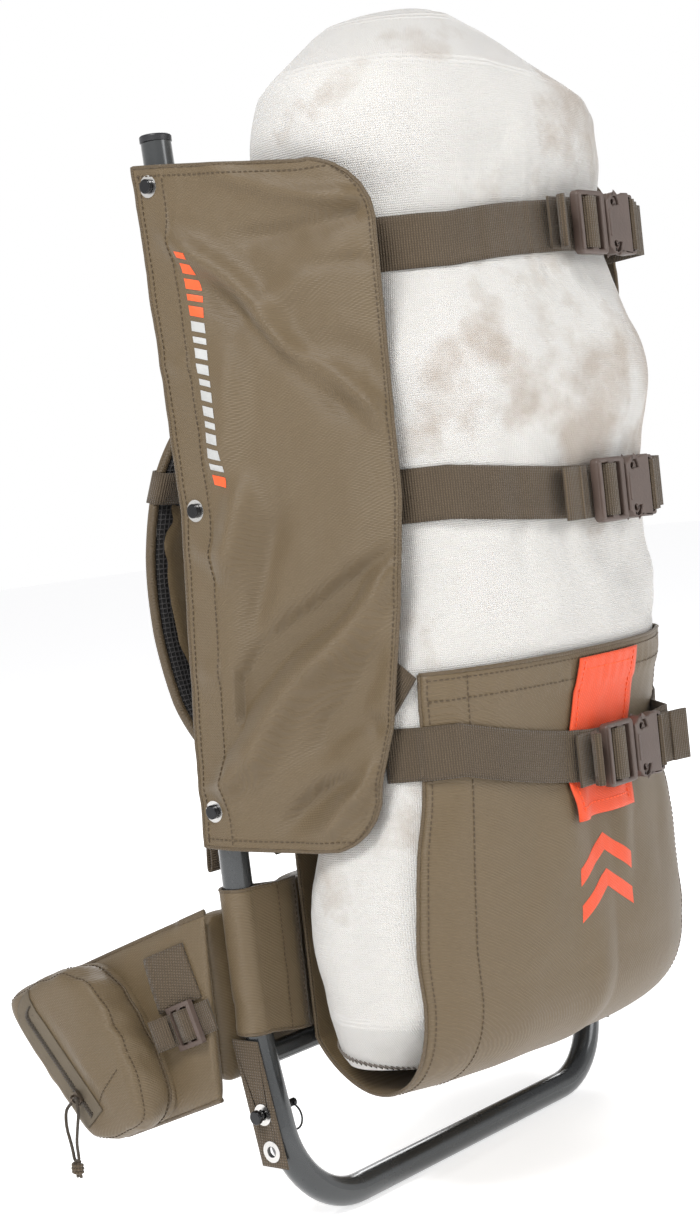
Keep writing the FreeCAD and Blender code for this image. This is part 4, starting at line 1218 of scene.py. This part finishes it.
def make_shoulder_strap(name, side):
    inflated("shoulder_pad_" + name, "shoulder_strap_" + name, 0.0045, 2.5, 0.004)
    columns = ((-0.46, -3.6), (-0.38, -6.2), (-0.25, -7.4), (-0.1, -7.8), (0.1, -7.8), (0.25, -7.4), (0.38, -6.2),
               (0.46, -3.6))
    lining = [shoulder_line(side, across, off) for across, off in columns]
    rows = [list(r) for r in zip(*lining)]
    cloth("shoulder_mesh_" + name, rows[2:-2], "mesh", 0.0012, "pack", "mesh")
    for label, w in (("outer", -0.5), ("inner", 0.5)):
        line = shoulder_line(side, w * 0.99, 0.0)
        edge = tube("shoulder_binding_%s_%s" % (label, name), line, 0.0034, "binding", flat=1.25)
        place(edge, "pack", "twill")
    make_keeper(name, shoulder_line(side, 0.0, 0.0))
    centre = shoulder_line(side, 0.0, 7.6)
    half = Vector((0.0125, 0, 0))
    place(strip("shoulder_daisy_" + name, [p for p in centre if 0.37 < p.z < 0.6], half), "pack", "webbing")
    end = [p for p in centre if p.z < 0.372][-6:] + [mm(112 * side, 84.5, 338), mm(112 * side, 84.2, 330)]
    place(strip("shoulder_lock_loop_" + name, end, half), "pack", "webbing")

    def web(label, points, width, *nodes):
        line = [mm(x * side, y, z) for x, y, z in points]
        piece = soft_strip(label + name, line, width, Vector((1, 0, 0)))
        return place(piece, "pack", "webbing", *nodes)

    web("shoulder_lower_web_", LOWER_WEB, 0.025, "lower_webbing_" + name)
    web("shoulder_tail_web_", TAIL_WEB, 0.025)
    lifter = web("load_lifter_web_", LIFTER_WEB, 0.020)
    if name == "left":
        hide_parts("lifter_webbing")


def back_sheet(name, node, y, margin=0.004):
    """A flat breathable panel between the rails."""
    low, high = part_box(node)
    rows = []
    for i in range(25):
        row = []
        for j in range(41):
            u, v = j / 40, i / 24
            x = lerp(low.x + margin, high.x - margin, u)
            z = lerp(low.z + margin, high.z - margin, v)
            edge = min(u, 1 - u) * (high.x - low.x) / 0.02
            edge = min(edge, min(v, 1 - v) * (high.z - low.z) / 0.02)
            slack = 0.0006 * noise.noise(Vector((x, 0, z)) * 40)
            row.append(Vector((x, y - 0.0015 * (1 - smooth(edge)) + slack, z)))
        rows.append(row)
    return cloth(name, rows, "mesh", 0.0014, "pack", "mesh", node)


def puffed_panel(name, x0, x1, z0, z1, y, puff, columns):
    """A mesh panel on a pad's face, flat at its edges."""
    rows = []
    for i in range(21):
        row = []
        for j in range(columns + 1):
            u, v = j / columns, i / 20
            rise = smooth(min(1.0, 5 * min(u, 1 - u, v, 1 - v)))
            row.append(Vector((lerp(x0, x1, u), y + 0.0005 + puff * rise, lerp(z0, z1, v))))
        rows.append(row)
    cloth(name, rows, "mesh", 0.0012, "pack", "mesh")


def make_band_webs(name, side):
    """The two straps that hold an edge of the back band to its rail."""
    for z in (350, 450):
        points = [mm(side * x, y, z) for x, y in ((172, 15), (186, 14.4), (200, 12.6), (211.5, 5), (212.6, 0))]
        points = [p + Vector((0, rail_lean(z * MM), 0)) * smooth((abs(p.x) - 0.17) / 0.03) for p in points]
        web = soft_strip("back_band_web_%s_%d" % (name, z), points, 0.025, Vector((0, 0, 1)), thickness=0.0010)
        place(web, "pack", "webbing")


def make_back():
    low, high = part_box("lumbar_pad")
    inflated("lumbar_cushion", "lumbar_pad", 0.006, 3.0, 0.004)
    inflated("yoke_cushion", "yoke", 0.005, 3.0, 0.003)
    for name, x0, x1 in (("left", -0.132, -0.010), ("right", 0.010, 0.132)):
        puffed_panel("lumbar_mesh_" + name, x0, x1, low.z + 0.026, high.z - 0.012, high.y, 0.0055, 20)
    low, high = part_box("yoke")
    puffed_panel("yoke_mesh", low.x + 0.014, high.x - 0.014, low.z + 0.014, high.z - 0.02, high.y, 0.004, 24)
    low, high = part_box("back_band")
    y = (low.y + high.y) / 2
    band = back_sheet("back_band_mesh", "back_band", y)
    x0, x1, z0, z1 = low.x + 0.004, high.x - 0.004, low.z + 0.004, high.z - 0.004
    corners = [(x0, z0), (x1, z0), (x1, z1), (x0, z1)]
    line = []
    for a, b in zip(corners, corners[1:] + corners[:1]):
        line += [Vector((lerp(a[0], b[0], k / 12), y - 0.0008, lerp(a[1], b[1], k / 12))) for k in range(12)]
    place(tube("back_band_binding", line, 0.0026, "binding", closed=True), "pack", "twill")
    for name, side in SIDES.items():
        make_band_webs(name, side)


# ------------------------------------------------------------------ rail sleeves and tabs
# the sleeve's flap towards the middle: x, how far it droops, y of its rear layer, y of its front layer
SLEEVE_FLAP = ((-0.1565, 0.006, -0.0150, -0.0137), (-0.166, 0.005, -0.0156, -0.0134),
               (-0.178, 0.003, -0.0158, -0.0136))


def sleeve_row(z, v):
    centre = Vector((-0.2, rail_lean(z) + (0.0008 if z > 0.17 else 0.0), z))
    rear = [Vector((x, y, z - droop * (1 - v))) for x, droop, y, _ in SLEEVE_FLAP]
    front = [Vector((x, y, z - droop * (1 - v))) for x, droop, _, y in SLEEVE_FLAP[::-1]]
    for p in rear + front:
        p.y += -0.0012 * abs(noise.noise(Vector((p.x * 50, 0, z * 40))))
    wrap = []
    for k in range(27):
        a = math.radians(-78 - 310 * k / 26)
        fold = 0.0011 * abs(noise.noise(Vector((k * 0.24, z * 30, 2.0))))
        r = 0.0129 + fold + 0.0006 * bump_at(v, 0.03, 0.03)
        wrap.append(centre + Vector((math.cos(a), math.sin(a), 0)) * r)
    return rear + wrap + front


def make_sleeve(name, side):
    low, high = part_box("rail_sleeve_" + name)
    rows = []
    for i in range(45):
        v = i / 44
        row = sleeve_row(lerp(low.z + 0.009, high.z - 0.0005, v), v)
        rows.append([Vector((p.x * -side, p.y, p.z)) for p in row])
    cloth("rail_sleeve_cloth_" + name, rows, "twill", 0.0009, "pack", "twill", "rail_sleeve_" + name)
    stitches = Stitching()
    rear = Vector((0, -1, 0))

    def off_rail(p):
        return (p - Vector((side * 0.2, rail_lean(p.z), p.z))).normalized()

    stitches.line([row[2] + rear * 0.0007 for row in rows], lambda p: rear)
    stitches.line([row[0] + rear * 0.0007 + Vector((side * 0.003, 0, 0)) for row in rows], lambda p: rear)
    for k in (2, 42):
        stitches.line(rows[k][4:20], off_rail)
    place(stitches.piece("rail_sleeve_stitching_" + name), "pack", "twill")
    for k, label in ((0, "low"), (44, "high")):
        place(tube("rail_sleeve_hem_%s_%s" % (label, name), rows[k], 0.0012, "binding"), "pack", "twill")


def copied(name, node, material, bevel):
    """A finished copy of a plain solid, with softened rims."""
    piece = new_object(name, NODES[node].data.copy(), material)
    modified(piece, ("WELD", {"merge_threshold": 0.00002}),
             ("BEVEL", {"width": bevel, "segments": 2, "limit_method": "ANGLE", "angle_limit": math.radians(40)}),
             ("EDGE_SPLIT", {"split_angle": math.radians(38)}))
    return dressed(piece, MATERIALS[material])


# ------------------------------------------------------------------ hip belt
DROOP = math.radians(20)
BELT_ROOT = (-10, 180)
BELT_LENGTH = 212
POCKET = ((75, -62), (91, 64), (180, 66), (195, 57), (152, -54), (140, -62))
ZIP = ((170, 48), (136, -38))
SLIDER_AT = 0.86


def belt_x(d):
    return -225 - 14 * math.sin(math.pi * min(1.0, d / BELT_LENGTH) * 0.8)


def belt_point(side, d, h, x):
    """A point of the hip belt: d mm along it from the rail, h mm up across it."""
    y = BELT_ROOT[0] + d * math.cos(DROOP) + h * math.sin(DROOP)
    z = BELT_ROOT[1] - d * math.sin(DROOP) + h * math.cos(DROOP)
    return mm(x * -side, y, z)


def pocket_face():
    return min(belt_x(d) - 1.8 for d in (75, 110, 150, 190)) - 36


def zip_point(side, t, lift, across=0.0):
    d = lerp(ZIP[0][0], ZIP[1][0], t) + across * 0.93
    h = lerp(ZIP[0][1], ZIP[1][1], t) - across * 0.37
    return belt_point(side, d, h, pocket_face() - lift)


PAD_REAR_Y = 13.0
PAD_TOP = 65.0


def pad_start(h):
    """How far along the belt the pad's rear edge lies, upright beside the rail."""
    return (PAD_REAR_Y - BELT_ROOT[0] - h * math.sin(DROOP)) / math.cos(DROOP)


def pad_faces(d, h, t, end):
    """x of the pad's outer and inner face; beside the lumbar pad it thins to a flap. t is -1 to 1 across it."""
    y = BELT_ROOT[0] + d * math.cos(DROOP) + h * math.sin(DROOP)
    body = max(0.0, 1 - abs(t) ** 7) ** 0.5 * (1 - end ** 9 * 0.9)
    inner = lerp(-226.8, belt_x(d) + 13.6, smooth((y - 35.0) / 12.0))
    crease = 1.5 * math.sin(h * 0.05 + d * 0.11) * smooth((y - 30) / 25) * smooth((95 - d) / 24)
    outer = belt_x(max(0.0, d)) - 1.6 - (1.8 + crease) * body
    middle = (outer + inner) / 2
    return middle + (outer - middle) * body, middle + (inner - middle) * body


def make_pad(name, side, body):
    rings = []
    for i in range(53):
        t = i / 52
        tip = max(0.0, (lerp(20, BELT_LENGTH, t) - 150) / (BELT_LENGTH - 150))
        ring, back = [], []
        for k in range(29):
            across = -math.cos(math.pi * k / 28)
            h = lerp(-65 + 34 * tip, PAD_TOP - 6 * tip, (across + 1) / 2)
            d = lerp(pad_start(h), BELT_LENGTH, t)
            outer, inner = pad_faces(d, h, across, t)
            ring.append(belt_point(side, d, h, outer))
            back.append(belt_point(side, d, h, inner))
        rings.append(ring + back[-2:0:-1])
    for end, at in ((rings[0], 0), (rings[-1], len(rings))):
        rings.insert(at, [end[k].lerp(end[-k % len(end)], 0.5) for k in range(len(end))])
    pad = grid("belt_pad_" + name, rings, "twill", ring=True)
    place(pad, body, "twill", "belt_wing_" + name)
    border = [ring[28] for ring in rings[1:-1]] + rings[-1][27:0:-3] + [ring[0] for ring in rings[-2:0:-1]]
    place(tube("belt_binding_" + name, border, 0.0021, "binding", flat=1.2), body, "twill")
    return pad


def rounded_outline(points, cut=0.22, times=3):
    """A closed line with its corners cut round."""
    for _ in range(times):
        result = []
        for (x0, y0), (x1, y1) in zip(points, points[1:] + points[:1]):
            result += [(lerp(x0, x1, t), lerp(y0, y1, t)) for t in (cut, 1 - cut)]
        points, cut = result, 0.25
    return points


def zip_distance(d, h):
    """How far a point of the pocket's face is from the zip's line, in mm."""
    (d0, h0), (d1, h1) = ZIP
    run = (d1 - d0) ** 2 + (h1 - h0) ** 2
    t = min(1.0, max(0.0, ((d - d0) * (d1 - d0) + (h - h0) * (h1 - h0)) / run))
    return math.hypot(d - lerp(d0, d1, t), h - lerp(h0, h1, t))


# the pocket's layers from its seam on the pad to its face: how far out (0 to 1) and the outline's scale
POCKET_LAYERS = (
    (0.0, 1.0), (0.05, 1.02), (0.13, 1.035), (0.2, 1.0), (0.27, 1.022), (0.4, 1.045), (0.55, 1.05), (0.68, 1.04),
    (0.78, 1.012), (0.84, 0.988), (0.88, 0.985), (0.93, 0.96), (0.97, 0.91),
)
FACE_LAYERS = 14
ZIP_CLEARANCE = 12.5


def pocket_outline():
    """The pocket's outline with its corners rounded, as close pairs of belt coordinates."""
    outline = rounded_outline(list(POCKET))
    dense = []
    for a, b in zip(outline, outline[1:] + outline[:1]):
        steps = max(1, int(math.hypot(b[0] - a[0], b[1] - a[1]) / 2.4))
        dense += [(lerp(a[0], b[0], k / steps), lerp(a[1], b[1], k / steps)) for k in range(steps)]
    return dense


def pocket_x(d, at_d, at_h, out):
    """x of the pocket's skin: domed over its face, but flat beside the zip."""
    clear = smooth((zip_distance(at_d, at_h) - ZIP_CLEARANCE) / 14.0)
    x = lerp(belt_x(d) + 0.5, pocket_face(), min(out, 1.0)) - 44.0 * max(0.0, out - 1.0) * clear
    waves = noise.noise(Vector((at_d * 0.03 + at_h * 0.012, at_h * 0.016 - at_d * 0.02, 7.0)))
    return x - clear * 2.6 * waves * smooth((out - 0.85) / 0.15)


def pocket_rings(side):
    """The pocket's skin from its seam on the pad out to the front, with slack folds."""
    outline = pocket_outline()
    cd, ch = (sum(q[k] for q in outline) / len(outline) for k in (0, 1))
    face = [(1.0 + 0.077 * (1 - (k / FACE_LAYERS) ** 2), max(0.002, 0.86 * k / FACE_LAYERS))
            for k in range(FACE_LAYERS, -1, -1)]
    rings = []
    for out, scale in list(POCKET_LAYERS) + face:
        ring = []
        for d, h in outline:
            angle = math.atan2(h - ch, d - cd)
            slack = 0.6 * math.sin(angle * 13.0 + 5 * out)
            slack += noise.noise(Vector((angle * 3.2, out * 4.0, 1.0)))
            slack += 0.9 * noise.noise(Vector((d * 0.11, h * 0.03, out * 3)))
            far = math.hypot(d - cd, h - ch)
            grow = scale + slack * smooth(out / 0.2) * smooth((1.04 - out) / 0.2) / far * 1.3
            x = pocket_x(d, cd + (d - cd) * scale, ch + (h - ch) * scale, out)
            ring.append(belt_point(side, cd + (d - cd) * grow, ch + (h - ch) * grow, x))
        rings.append(ring)
    return rings


def make_pocket(name, side, body):
    """The pocket's cloth and piping, and its stitched rims."""
    rings = pocket_rings(side)
    pocket = grid("belt_pocket_cloth_" + name, rings, "twill", ring=True)
    modified(pocket, ("SUBSURF", {"levels": 1, "render_levels": 1}))
    place(pocket, body, "twill", "belt_pocket_" + name)
    place(tube("pocket_piping_" + name, rings[3], 0.0011, "binding", closed=True), body, "twill")
    stitches = Stitching()
    for level in (4, 9):
        loop = rings[level] + rings[level][:1]
        middle = sum(loop, Vector()) / len(loop)
        outwards = [p + (p - middle).normalized() * 0.0004 for p in loop]
        stitches.line(outwards, lambda p, m=middle: (p - m).normalized(), 0.0036, 0.0024, 0.0008)
    return pocket, stitches


# the waist strap from the pad's tip: mm towards the middle, and mm on along the belt
WAIST_WEB = ((-4, -1), (8, 0), (22, 1), (34, 4), (40, 7), (46, 4))


def make_waist(name, side, body):
    copy = copied("waist_buckle_half_" + name, "waist_buckle_" + name, "buckle", 0.0007)
    place(copy, body, "plastic", "waist_buckle_" + name)
    tip = belt_point(side, BELT_LENGTH + 1.4, 8, belt_x(BELT_LENGTH) + 7.5)
    inwards = Vector((-side, 0, 0)) * MM
    along = Vector((0, math.cos(DROOP), -math.sin(DROOP))) * MM
    points = [tip + inwards * x + along * d for x, d in WAIST_WEB]
    web = soft_strip("waist_web_" + name, points, STRAP_WIDTH, Vector((0, math.sin(DROOP), math.cos(DROOP))))
    place(web, body, "webbing", "waist_webbing_" + name)


def make_belt(name, side):
    body = "hip_belt_" + name
    pad = make_pad(name, side, body)
    pocket, stitches = make_pocket(name, side, body)
    surface = tree_of(pad, pocket)
    gusset = [on_belt(surface, side, lerp(92, 139, k / 20), lerp(-17, -43, k / 20), 0.2) for k in range(21)]
    stitches.line(gusset, lambda p: Vector((side, 0, 0)), 0.0036, 0.0024, 0.0008)
    place(stitches.piece("pocket_stitching_" + name), body, "twill")
    make_zip(name, side, body, surface)
    make_pull(name, side)
    make_belt_webbing(name, side, body, surface)
    make_waist(name, side, body)


def on_belt(surface, side, d, h, lift):
    """A point lifted off the belt's outer surface."""
    p = belt_point(side, d, h, -400)
    q = cast(surface, p, Vector((-side, 0, 0)), lift * MM)
    return q if q is not None else belt_point(side, d, h, belt_x(d) - lift)


def relaxed(rows):
    """The same grid with each inner point drawn towards its neighbours."""
    result = [row[:] for row in rows]
    for i in range(1, len(rows) - 1):
        for j in range(len(rows[0])):
            result[i][j] = rows[i][j] * 0.5 + (rows[i - 1][j] + rows[i + 1][j]) * 0.25
    return result


def on_zip(surface, side, t, d, h, lift):
    """A point on the tape: flat where the slider runs, and down on the cloth beyond its ends."""
    flat = belt_point(side, d, h, pocket_face() - lift)
    loose = on_belt(surface, side, d, h, lift)
    return flat.lerp(loose, smooth(max(0.04 - t, t - 0.96) / 0.06))


def zip_line(t):
    """The tape's middle in belt coordinates: straight where the slider runs, and bent over at the top."""
    d, h = lerp(ZIP[0][0], ZIP[1][0], t), lerp(ZIP[0][1], ZIP[1][1], t)
    bend = max(0.0, 0.1 - t)
    return d - 95 * bend * bend * 4 + bend * 10, h - 46 * bend * bend * 3


def make_zip(name, side, body, surface):
    """The tape, its coil and the slider."""
    rows = []
    for i in range(47):
        t = lerp(-0.12, 1.08, i / 46)
        d, h = zip_line(t)
        d1, h1 = zip_line(t + 0.01)
        run = math.hypot(d1 - d, h1 - h)
        nd, nh = (h - h1) / run, (d1 - d) / run
        offsets = [-12.0 + 24 * k / 10 for k in range(11)]
        rows.append([on_zip(surface, side, t, d + off * nd, h + off * nh, 0.6) for off in offsets])
    for _ in range(2):
        rows = relaxed(rows)
    cloth("zip_tape_" + name, rows, "zip", 0.0009, body, "zip", "belt_zip_" + name)
    across = belt_point(side, 1, -0.37, 0) - belt_point(side, 0, 0, 0)
    lift = Vector((side, 0, 0)) * MM * 0.4
    teeth = []
    for i in range(86):
        t = lerp(-0.08, 1.04, i / 85)
        base = on_zip(surface, side, t, *zip_line(t), 1.5)
        offset = 0.5 if i % 2 else -0.5
        points = [base + across * (offset - 1.7), base + across * offset + lift, base + across * (offset + 1.7)]
        teeth.append(tube("tooth", points, 0.00046, "coil", sides=5))
    place(joined("zip_coil_" + name, teeth), body, "zip")
    slider = copied("zip_slider_shell_" + name, "zip_slider_" + name, "slider", 0.0004)
    place(slider, "zip_slider_" + name, "steel", "zip_slider_" + name)


def curve_cord(name, route, radius):
    """A smooth curve object with a round section, from its control points."""
    data = bpy.data.curves.new(name, "CURVE")
    data.dimensions = "3D"
    data.bevel_depth = radius
    data.bevel_resolution = 3
    data.resolution_u = 8
    spline = data.splines.new("NURBS")
    spline.points.add(len(route) - 1)
    for point, p in zip(spline.points, route):
        point.co = (p.x, p.y, p.z, 1.0)
    spline.order_u = 3
    spline.use_endpoint_u = True
    cord = bpy.data.objects.new(name, data)
    bpy.context.scene.collection.objects.link(cord)
    data.materials.append(MATERIALS["cord"])
    return cord


# each leg of the pull cord below the slider: mm to its own side, out, and up
CORD_LEGS = ((7.2, 3.4, -8.0), (6.0, 5.4, -20.0), (3.2, 5.2, -31.0), (2.7, 4.4, -39.0), (2.6, 4.2, -45.0))


def make_pull(name, side):
    """The cord looped through the slider, and its knot."""
    body = "zip_pull_" + name
    top = zip_point(side, SLIDER_AT, 7.2)
    along = (zip_point(side, 0, 0) - zip_point(side, 1, 0)).normalized()
    across = along.cross(Vector((1, 0, 0)))
    across *= math.copysign(1.0, across.y)
    out = Vector((side, 0, 0))
    halves = []
    for way in (1, -1):
        half = [top + across * (0.0003 * way), top + across * (0.0046 * way) + out * 0.0008]
        half += [top + mm(0, y * way, z) + out * x * MM for y, x, z in CORD_LEGS]
        halves.append(half)
    route = halves[0] + halves[1][::-1]
    cord = curve_cord("pull_cord_" + name, route, 0.0012)
    place(cord, body, "cord", "zip_cord_" + name)
    knot = make_knot(name, side, top, body)


def make_knot(name, side, top, body):
    """A barrel knot: three turns round both legs, with the doubled end below."""
    middle = top + Vector((side * 0.0042, 0, -0.050))
    turns = []
    for k in range(64):
        t = k / 63
        a = 2 * math.pi * 3.2 * t
        r = 0.0031 + 0.0006 * math.sin(math.pi * t)
        turns.append(middle + Vector((math.cos(a) * r, math.sin(a) * r, lerp(0.0035, -0.0045, t))))
    pieces = [tube("wrap", turns, 0.00125, "cord", sides=7)]
    for sign in (-1, 1):
        ends = [middle + mm(x, sign * y, z) for x, y, z in ((0, 1.3, 4), (0.4, 1.5, -4), (0.8, 1.9, -7.8))]
        pieces.append(tube("end", ends, 0.0012, "cord", sides=7))
    return place(joined("pull_knot_" + name, pieces), body, "cord", "zip_knot_" + name)


# the stabiliser strap and its tail, as mm along the belt and mm out from it
STABILISER = ((22, 5.4), (30, 4.9), (37, 5.6), (41, 8.6), (46, 10.2), (51, 8.6), (55, 5.8), (61, 4.9), (66, 4.7))
STABILISER_TAIL = ((57, 7.4), (63, 7.2), (69, 9.2), (72, 13.0), (70.5, 16.2), (66, 17.0), (60, 15.2), (57, 12.4))
STABILISER_SPAN = (-18.0, 7.0)


def make_belt_webbing(name, side, body, surface):
    """The loop patch and the stabiliser strap with its adjuster."""
    rows = []
    for i in range(25):
        d = lerp(27, 67, i / 24)
        fold = 1.0 if i in (20, 21, 22) else 0.0
        rows.append([on_belt(surface, side, d, lerp(9, 51, k / 10), 1.2 + fold) for k in range(11)])
    cloth("belt_loop_patch_" + name, rows, "webbing_solid", 0.0016, body, "webbing", "belt_webbing_" + name)
    lock = copied("belt_adjuster_" + name, "belt_ladderlock_" + name, "buckle", 0.0008)
    place(lock, body, "plastic", "belt_ladderlock_" + name)
    low, high = STABILISER_SPAN
    across = belt_point(side, 0, high, 0) - belt_point(side, 0, low, 0)
    for label, pairs in (("belt_stabiliser_", STABILISER), ("belt_strap_tail_", STABILISER_TAIL)):
        line = [belt_point(side, d, (low + high) / 2, belt_x(d) - x) for d, x in pairs]
        place(soft_strip(label + name, line, 0.0235, across), body, "webbing")


# ------------------------------------------------------------------ metalwork
def dress_nodes():
    """Materials for the CAD nodes that stay."""
    kept = {
        "tube": ("frame_tube", "upper_crossbar", "middle_crossbar", "lower_crossbar"),
        "cap": ("tube_caps",),
        "pin": ("clevis_pins_left", "clevis_pins_right"),
        "ring": ("pin_rings",),
        "nickel": ("grommets",),
        "buckle": ("strap_ladderlocks",),
    }
    for material, names in kept.items():
        for name in names:
            dressed(NODES[name], MATERIALS[material])


# ------------------------------------------------------------------ camera, light, floor
CAMERA_SPOT = (-1.2937, -1.0629, 0.5315)
CAMERA_LOOK = (0.7613, 0.6461, -0.0538)
CAMERA_UP = (0.111, -0.0481, 0.9927)


def make_camera():
    """The view from the load side, a little above the middle, with the pack leaning in the picture."""
    data = bpy.data.cameras.new("camera")
    data.sensor_width = 36.0
    data.lens = 61.84
    data.clip_start, data.clip_end = 0.05, 60.0
    camera = bpy.data.objects.new("camera", data)
    bpy.context.scene.collection.objects.link(camera)
    look = Vector(CAMERA_LOOK).normalized()
    right = look.cross(Vector(CAMERA_UP)).normalized()
    turned = Matrix((right, right.cross(look), -look)).transposed().to_4x4()
    camera.matrix_world = Matrix.Translation(CAMERA_SPOT) @ turned
    bpy.context.scene.camera = camera


def make_world():
    """White all round at eye level, and dimmer overhead, so that the lamps model the folds."""
    world = bpy.data.worlds.new("studio")
    world.use_nodes = True
    tree = world.node_tree
    coords = tree.nodes.new("ShaderNodeTexCoord")
    height = tree.nodes.new("ShaderNodeSeparateXYZ")
    ramp = tree.nodes.new("ShaderNodeValToRGB")
    ramp.color_ramp.elements[0].position, ramp.color_ramp.elements[1].position = 0.26, 0.5
    ramp.color_ramp.elements[0].color, ramp.color_ramp.elements[1].color = (1, 1, 1, 1), (0.3, 0.3, 0.31, 1)
    tree.links.new(coords.outputs["Generated"], height.inputs[0])
    tree.links.new(height.outputs["Z"], ramp.inputs[0])
    tree.links.new(ramp.outputs[0], tree.nodes["Background"].inputs["Color"])
    tree.nodes["Background"].inputs["Strength"].default_value = 1.0
    bpy.context.scene.world = world


# name, place, size and power
LAMPS = (
    ("key", (-2.3, -0.6, 2.9), 1.1, 88.0),
    ("front", (0.6, -3.2, 1.5), 1.5, 30.0),
    ("rim", (2.4, 1.6, 2.2), 1.4, 40.0),
)


def make_stage():
    corners = [Vector((x * 14, y * 14, -0.0005)) for x, y in ((-1, -1), (1, -1), (1, 1), (-1, 1))]
    floor = from_faces("floor", corners, [(0, 1, 2, 3)], "cotton")
    s = Shader("pale_floor", Roughness=1.0, Specular_IOR_Level=0.0)
    s.main.inputs["Base Color"].default_value = (0.9, 0.9, 0.9, 1)
    s.main.inputs["Emission Color"].default_value = (1.0, 1.0, 1.0, 1)
    s.main.inputs["Emission Strength"].default_value = 0.6
    dressed(floor, s.material)
    make_world()
    for name, spot, size, power in LAMPS:
        data = bpy.data.lights.new("light_" + name, "AREA")
        data.size, data.energy = size, power
        light = bpy.data.objects.new("light_" + name, data)
        bpy.context.scene.collection.objects.link(light)
        light.location = spot
        light.rotation_euler = (Vector((0, -0.05, 0.4)) - Vector(spot)).to_track_quat("-Z", "Y").to_euler()
    bpy.context.scene.view_settings.view_transform = "Standard"


def main():
    make_camera()
    make_stage()
    dress_nodes()
    bag = make_game_bag()
    bag_tree = tree_of(bag)
    make_bag_seam(bag_tree)
    for name, side in SIDES.items():
        make_wing(name, side)
    sling_surface = make_sling(bag_tree)
    sling = bpy.data.objects["sling_cloth"]
    tab = make_sling_tab(tree_of(bag, sling))
    make_sling_mark(sling_surface)
    make_compression_straps(tree_of(bag, sling, tab))
    make_sling_straps()
    make_buckles()
    make_back()
    for name, side in SIDES.items():
        make_shoulder_strap(name, side)
        make_sleeve(name, side)
        make_belt(name, side)
    place(copied("belt_tab_webbing", "belt_tabs", "webbing_solid", 0.0003), "pack", "webbing", "belt_tabs")


main()
